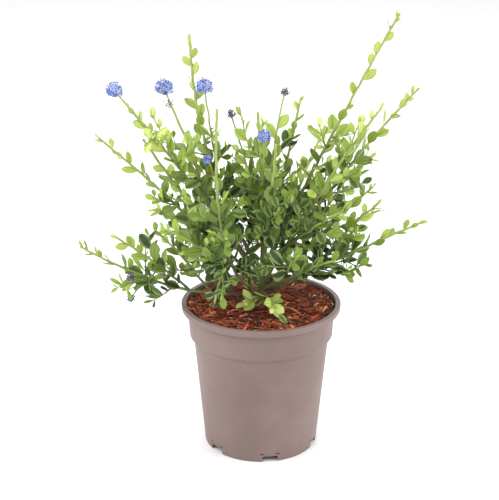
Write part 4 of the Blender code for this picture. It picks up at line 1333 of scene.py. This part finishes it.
stem_finishes = [
    stem_finish("leader_stem", linear(92, 98, 48), linear(142, 156, 80), 0.55),
    stem_finish("sprig_stem", linear(66, 70, 36), linear(130, 148, 70), 0.6),
    stem_finish("twiglet_stem", linear(104, 122, 56), linear(148, 168, 82), 0.6),
]

# %% Stem meshes
STEM_STEPS = {"leader": 40, "sprig": 9, "twiglet": 5}
STEM_SIDES = {"leader": 8, "sprig": 6, "twiglet": 5}
SWELL = 0.16


def stem_tubes(stems, kind):
    """Tubes of one kind, of radius (foot + (tip - foot) s) (1 + SWELL |sin|^6): a swell for each leaf."""
    steps = STEM_STEPS[kind]
    paths = np.stack([stretch(line, 0.0, run_along(line)[-1], steps) for line, _, _ in stems])
    foot = np.array([stem[1] for stem in stems])[:, None]
    tip = np.array([stem[2] for stem in stems])[:, None]
    s = np.linspace(0.0, 1.0, steps)[None]
    lengths = np.linalg.norm(np.diff(paths, axis=1), axis=2).sum(axis=1)[:, None]
    swell = 1.0 + SWELL * np.abs(np.sin(np.pi * s * lengths / INTERNODE)) ** 6
    return tubes(paths, (foot + (tip - foot) * s) * swell, STEM_SIDES[kind])


for growth in grown:
    parts = []
    for number, (kind, stems) in enumerate(growth.stems.items()):
        if stems:
            points, faces, uv = stem_tubes(stems, kind)
            parts.append((points, faces, uv, per_face(np.full(len(stems), number), faces, len(stems))))
    points, faces, uv, numbers = join(parts)
    name = growth.mass.name
    piece = mesh_piece(f"stems_{name}", points, faces, stem_finishes, numbers, uv)
    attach(piece, "root")
    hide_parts(f"foliage_{name}")

# %% [markdown]
# ## Leaves
# A leaf is a thin closed lens with a short stalk, an oval blade widest past its middle, and three
# impressed veins that run from foot to tip. The upper side is a grid of shares u along and v across,
# glossy, in the leaf's tint. The lower side, matt and pale, needs fewer faces: it runs from the rim that
# both sides share to a spine just under the middle vein.

# %% Leaf shape
ALONG_SHARES = np.array([0.11, 0.30, 0.52, 0.74, 0.93])
ACROSS_SHARES = np.array([-1.0, -0.62, -0.31, 0.0, 0.31, 0.62, 1.0])
SIDE_VEIN = 0.62
STALK_SHARE = 0.05
STALK_HALF_WIDTH = 0.10
WIDEST = 1.22
BLUNTNESS = 0.72
VEIN_DEPTH = 0.075
LEAF_THICKNESS = 0.00028


def outline(u):
    """Half width over its largest: sin(pi w^WIDEST) ^ BLUNTNESS, with w the share along the blade."""
    w = np.clip((u - STALK_SHARE) / (1.0 - STALK_SHARE), 0.0, 1.0)
    return np.maximum(np.sin(np.pi * w**WIDEST).clip(0.0) ** BLUNTNESS, STALK_HALF_WIDTH)


def strips(grid, foot, tip, flip):
    """Quads between a grid's rows, and triangles from its first row to the foot and its last to the tip."""
    quads = np.stack([grid[:-1, :-1], grid[1:, :-1], grid[1:, 1:], grid[:-1, 1:]], axis=2).reshape(-1, 4)
    count = grid.shape[1] - 1
    first = np.stack([np.full(count, foot), grid[0, :-1], grid[0, 1:]], axis=1)
    last = np.stack([np.full(count, tip), grid[-1, 1:], grid[-1, :-1]], axis=1)
    fans = np.concatenate([first, last])
    return (quads[:, ::-1], fans[:, ::-1]) if flip else (quads, fans)


def leaf_grid():
    """Faces of one leaf: upper quads and fans, then lower ones that share the rim and the two ends."""
    rows, columns = len(ALONG_SHARES), len(ACROSS_SHARES)
    upper = np.arange(rows * columns).reshape(rows, columns)
    foot, tip = rows * columns, rows * columns + 1
    spine = rows * columns + 2 + np.arange(rows)
    lower = np.stack([upper[:, 0], spine, upper[:, -1]], axis=1)
    return strips(upper, foot, tip, False) + strips(lower, foot, tip, True)


# %% Leaf meshes
def leaf_meshes(leaves):
    """Points, faces and UVs of many leaves at once.

    In a leaf's own frame x = u length, y = v half(u), and z = half(u) (cup v^2 - VEIN_DEPTH
    cos(2 pi v / SIDE_VEIN)) - bend length u^2, with the veins faded out towards the ends and the rim.
    The frame's axes are the leaf's way, side and face.
    """
    data = np.array(leaves, dtype=float)
    foot, way, face = data[:, 0:3], data[:, 3:6], data[:, 6:9]
    length, width, bend, cup = (data[:, i][:, None, None] for i in range(9, 13))
    side = unit(np.cross(face, way))
    normal = np.cross(way, side)
    u = ALONG_SHARES[None, :, None]
    v = ACROSS_SHARES[None, None, :]
    half = length * width / 2 * outline(u)
    veins = VEIN_DEPTH * np.cos(2 * np.pi * v / SIDE_VEIN) * np.sin(np.pi * u) * (1.0 - v**8)
    x = np.broadcast_to(u * length, (len(data), u.size, v.size))
    y = half * v
    z = half * (cup * v**2 - veins) - bend * length * u**2
    flat = np.stack([x, y, z], axis=3)
    spine = flat[:, :, ACROSS_SHARES == 0.0].reshape(len(data), -1, 3) - (0.0, 0.0, LEAF_THICKNESS)
    foot_end = np.zeros((len(data), 1, 3))
    tip_end = np.concatenate([length, 0.0 * length, -bend * length], axis=2)
    local = np.concatenate([flat.reshape(len(data), -1, 3), foot_end, tip_end, spine], axis=1)
    axes = np.stack([way, side, normal], axis=1)
    points = np.einsum("nij,njk->nik", local, axes) + foot[:, None]
    grid = np.stack(np.broadcast_arrays(u[0], (v[0] + 1) / 2), axis=2).reshape(-1, 2)
    spine_uv = np.stack([ALONG_SHARES, np.full(len(ALONG_SHARES), 0.5)], axis=1)
    uv = np.concatenate([grid, [(0.0, 0.5), (1.0, 0.5)], spine_uv])
    shift = (np.arange(len(data)) * local.shape[1])[:, None, None]
    faces = [(group + shift).reshape(-1, group.shape[1]) for group in leaf_grid()]
    return points.reshape(-1, 3), faces, np.tile(uv, (len(data), 1))


# %% [markdown]
# Leaf tints run from the deep green of old leaves in the heart to the bright yellow-green of new ones,
# and leaves in the heart are also given deeper tints as painted shade. They are plain base colours dealt
# out by spray. Over each lies the same faint pattern: three pale veins with fine side veins, read from
# the UV map, painted shade in the furrows, and a slight mottle. The gloss is a little broken.


# %% Leaf finishes
VEIN_STRENGTH = 0.28


def leaf_finish(name, colour, vein_colour, shine, painted_furrow_shade):
    """A tint with its pale veins, and painted shade in the furrows between them, darkened by
    painted_furrow_shade.
    """
    leaf = Finish(name, Specular_IOR_Level=0.26)
    lengthwise = leaf.node("ShaderNodeSeparateXYZ", None, {0: leaf.along()}, "X")
    across = leaf.node("ShaderNodeSeparateXYZ", None, {0: leaf.along()}, "Y")
    from_middle = leaf.node("ShaderNodeMath", {"operation": "ABSOLUTE"}, {0: across - 0.5})
    from_side = leaf.node("ShaderNodeMath", {"operation": "ABSOLUTE"}, {0: from_middle - SIDE_VEIN / 2})
    middle_vein = leaf.spread(from_middle, 0.010, 0.035, 1.0, 0.0)
    side_vein = leaf.spread(from_side, 0.008, 0.030, 1.0, 0.0)
    net = leaf.node("ShaderNodeMath", {"operation": "SINE"}, {0: 62.0 * lengthwise - 40.0 * from_middle})
    mottle = leaf.noise(leaf.place(), 420.0, 3.0)
    veins = VEIN_STRENGTH * (middle_vein + 0.7 * side_vein + 0.12 * leaf.spread(net, 0.4, 1.0))
    turn = 4 * math.pi / SIDE_VEIN * (across - 0.5)
    # Painted shade: the furrows along the impressed veins are darkened in the colour.
    wave = leaf.node("ShaderNodeMath", {"operation": "COSINE"}, {0: turn})
    groove = leaf.spread(wave + 0.5 * mottle, -0.5, 1.3)
    dark = tuple(part * painted_furrow_shade for part in colour[:3]) + (1.0,)
    blade = leaf.blend(groove, colour, dark)
    leaf.colour(leaf.blend(veins, blade, vein_colour))
    leaf.roughness(shine + 0.14 * mottle)
    leaf.bump(mottle - 0.5 * net, 0.35, 0.0003)
    return leaf


upper_finishes = [
    leaf_finish("leaf_deep", linear(48, 70, 28), linear(90, 112, 58), 0.30, 0.38),
    leaf_finish("leaf_mature", linear(78, 105, 36), linear(120, 144, 70), 0.33, 0.42),
    leaf_finish("leaf_mid", linear(124, 152, 48), linear(162, 182, 84), 0.36, 0.50),
    leaf_finish("leaf_fresh", linear(154, 178, 72), linear(186, 204, 114), 0.40, 0.58),
    leaf_finish("leaf_young", linear(184, 202, 100), linear(208, 218, 136), 0.42, 0.68),
    leaf_finish("leaf_new", linear(208, 220, 124), linear(224, 232, 156), 0.45, 0.76),
]
lower_finishes = [
    leaf_finish("leaf_under_old", linear(124, 144, 86), linear(166, 182, 128), 0.6, 0.75),
    leaf_finish("leaf_under_new", linear(166, 188, 100), linear(194, 210, 134), 0.6, 0.80),
]
leaf_finishes = upper_finishes + lower_finishes

# %% Leaves of each mass
YOUNG_TINT = 3
for growth in grown:
    points, faces, uv = leaf_meshes(growth.leaves)
    upper, lower = faces[:2], faces[2:]
    tints = np.array([leaf[-1] for leaf in growth.leaves])
    under = np.where(tints >= YOUNG_TINT, TINTS + 1, TINTS)
    numbers = np.concatenate([per_face(tints, upper, len(tints)), per_face(under, lower, len(tints))])
    name = growth.mass.name
    piece = mesh_piece(f"leaves_{name}", points, faces, leaf_finishes, numbers, uv, 75.0)
    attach(piece, "root")
    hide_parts(f"foliage_{name}")

# %% [markdown]
# ## Blossom
# A flower head is a loose ball of florets, open below, on thread-like stalks that spring from the top
# of its stem. A floret has five small petals round a dark violet heart. Small closed beads make the
# dark bud heads. Places on the ball follow a golden spiral, jittered, which keeps them evenly apart.

# %% Small pieces and copies
WIDEST_SHARE = 0.65


def diamond(length, width, thickness, reach):
    """A closed six-point piece that starts at x = reach and is widest at WIDEST_SHARE of its length."""
    wide = reach + WIDEST_SHARE * length
    points = np.array([
        (reach, 0.0, 0.0),
        (wide, -width / 2, 0.0),
        (reach + length, 0.0, 0.0),
        (wide, width / 2, 0.0),
        (wide, 0.0, thickness / 2),
        (wide, 0.0, -thickness / 2),
    ])
    upper = [(0, 1, 4), (1, 2, 4), (2, 3, 4), (3, 0, 4)]
    lower = [(1, 0, 5), (2, 1, 5), (3, 2, 5), (0, 3, 5)]
    return points, np.array(upper + lower)


def copies(points, faces, places, normals, sizes, spins):
    """Copies of a small piece: its z axis turned to each normal, spun, scaled and moved to each place."""
    helper_way = np.where(np.abs(normals[:, 2:]) > 0.9, np.array([[1.0, 0.0, 0.0]]), UP[None])
    first = unit(np.cross(helper_way, normals))
    second = np.cross(normals, first)
    cos, sin = np.cos(spins)[:, None], np.sin(spins)[:, None]
    axes = np.stack([first * cos + second * sin, second * cos - first * sin, normals], axis=1)
    moved = np.einsum("ij,njk->nik", points, axes) * sizes[:, None, None] + places[:, None]
    shift = (np.arange(len(places)) * len(points))[:, None, None]
    return moved.reshape(-1, 3), (faces + shift).reshape(-1, faces.shape[1])


# %% Blossom finishes
def plain_finish(name, colour, light, scale, shine):
    """A soft mottle between two near colours, for pieces of a millimetre or two."""
    finish = Finish(name, Roughness=shine)
    mottle = finish.noise(finish.place(), scale, 3.0)
    finish.colour(finish.blend(finish.spread(mottle, 0.35, 0.65), colour, light))
    finish.bump(mottle, 0.3, 0.0002)
    return finish


blossom_finishes = [
    plain_finish("petal_lilac", linear(88, 112, 196), linear(126, 148, 222), 900.0, 0.6),
    plain_finish("petal_pale", linear(138, 160, 226), linear(184, 200, 242), 900.0, 0.6),
    plain_finish("petal_deep", linear(54, 66, 150), linear(82, 98, 184), 900.0, 0.6),
    plain_finish("floret_heart", linear(38, 30, 82), linear(66, 56, 120), 1500.0, 0.7),
    plain_finish("floret_stalk", linear(150, 160, 150), linear(186, 192, 190), 600.0, 0.7),
    plain_finish("bud_violet", linear(46, 36, 76), linear(92, 80, 132), 1200.0, 0.6),
    plain_finish("bud_brown", linear(92, 70, 62), linear(138, 112, 96), 1200.0, 0.8),
]
PETALS = (0, 1, 2)
FLORET_HEART, STALK, BUD, BUD_BROWN = 3, 4, 5, 6


# %% Flower and bud heads
FLORETS = 74
FULL_HEAD = 0.0092
BUDS = 48
BUD_RADIUS = 0.0049
PETAL_COUNT = 5
PETAL_SIZE = (0.0022, 0.0014, 0.0005)
PETAL_START = 0.0003
PETAL_LIFT = 0.35
PETAL_SHARES = (0.44, 0.30, 0.26)
HEART_SIZE = (0.0014, 0.0014, 0.0016)
HEART_START = -0.0009
HEART_RISE = 0.0004
BEAD_SIZE = (0.0024, 0.0017, 0.0017)
BEAD_START = -0.0012
FLORET_DEPTHS = (0.66, 1.04)
BEAD_DEPTHS = (0.35, 1.0)
FLORET_SIZES = (0.75, 1.15)
BEAD_SIZES = (0.7, 1.15)
LOWEST_FLORET = -0.50
LOWEST_BEAD = -0.7
WITHERED_SHARE = 0.18
STALK_SAG = 0.0012
FLORET_STALK_RADIUS = 0.00016
BEAD_STALK_RADIUS = 0.00018


def head_ways(dice, count, lowest):
    """Directions on a golden spiral from straight up down to the height lowest, jittered."""
    i = np.arange(count) + 0.5
    height = 1.0 - (1.0 - lowest) * i / count
    turn = i * GOLDEN_ANGLE
    flat = np.sqrt(1.0 - height**2)
    ways = np.stack([flat * np.cos(turn), flat * np.sin(turn), height], axis=1)
    return unit(ways + dice.normal(0.0, 0.07, ways.shape))


def stalks(start, places, radius):
    """Thread-like stalks that bow from one point to many places."""
    t = np.linspace(0.0, 1.0, 4)[None, :, None]
    middle = (start + places) / 2 - UP * STALK_SAG
    paths = start * (1 - t) ** 2 + middle[:, None] * 2 * t * (1 - t) + places[:, None] * t**2
    points, faces, uv = tubes(paths, np.full(paths.shape[:2], radius), 3)
    return points, faces, uv, per_face(np.full(len(places), STALK), faces, len(places))


def bare_part(points, faces, numbers):
    """A part of triangles only, with its place as its UV, ready for join."""
    return points, [np.zeros((0, 4), dtype=int), faces], points[:, :2] * 100.0, numbers


def flower_head(dice, centre, radius, count):
    """The parts of one open head: petals, hearts and stalks."""
    ways = head_ways(dice, count, LOWEST_FLORET)
    places = centre + ways * radius * dice.uniform(*FLORET_DEPTHS, (count, 1))
    tints = dice.choice(PETALS, count, p=PETAL_SHARES)
    petal_points, petal_faces = diamond(*PETAL_SIZE, PETAL_START)
    petal_points[:, 2] += PETAL_LIFT * petal_points[:, 0]
    sizes = dice.uniform(*FLORET_SIZES, count)
    spins = dice.uniform(0.0, 6.28, count)
    parts = []
    for petal in range(PETAL_COUNT):
        turned_spins = spins + petal * 2 * np.pi / PETAL_COUNT
        points, faces = copies(petal_points, petal_faces, places, ways, sizes, turned_spins)
        parts.append(bare_part(points, faces, np.repeat(tints, len(petal_faces))))
    heart_points, heart_faces = diamond(*HEART_SIZE, HEART_START)
    points, faces = copies(heart_points, heart_faces, places + ways * HEART_RISE, ways, sizes, spins)
    parts.append(bare_part(points, faces, np.full(len(faces), FLORET_HEART)))
    parts.append(stalks(centre - UP * radius * 0.75, places, FLORET_STALK_RADIUS))
    return parts


def bud_head(dice, centre, radius, count):
    """The parts of one closed head: dark beads on short stalks, a few of them withered brown."""
    ways = head_ways(dice, count, LOWEST_BEAD)
    places = centre + ways * radius * dice.uniform(*BEAD_DEPTHS, (count, 1))
    bead_points, bead_faces = diamond(*BEAD_SIZE, BEAD_START)
    sizes = dice.uniform(*BEAD_SIZES, count)
    points, faces = copies(bead_points, bead_faces, places, ways, sizes, dice.uniform(0.0, 6.28, count))
    tints = np.where(dice.random(count) < WITHERED_SHARE, BUD_BROWN, BUD)
    parts = [bare_part(points, faces, np.repeat(tints, len(bead_faces)))]
    parts.append(stalks(centre - UP * radius * 0.9, places, BEAD_STALK_RADIUS))
    return parts


# %% Blossom of each mass
# Each head has dice of its own, so that no two have the same florets.
for growth in grown:
    parts = []
    for shoot in growth.mass.shoots:
        dice = np.random.default_rng(SEED + len(parts) + 7 * len(growth.leaves))
        if shoot.end == "flower":
            count = shoot.count or round(FLORETS * (shoot.head / FULL_HEAD) ** 2)
            parts += flower_head(dice, np.array(shoot.tip), shoot.head, count)
        elif shoot.end == "bud":
            parts += bud_head(dice, np.array(shoot.tip), shoot.head or BUD_RADIUS, shoot.count or BUDS)
    if parts:
        points, faces, uv, numbers = join(parts)
        name = growth.mass.name
        piece = mesh_piece(f"blossom_{name}", points, faces, blossom_finishes, numbers, uv, 80.0)
        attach(piece, "root")
        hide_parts(f"foliage_{name}")
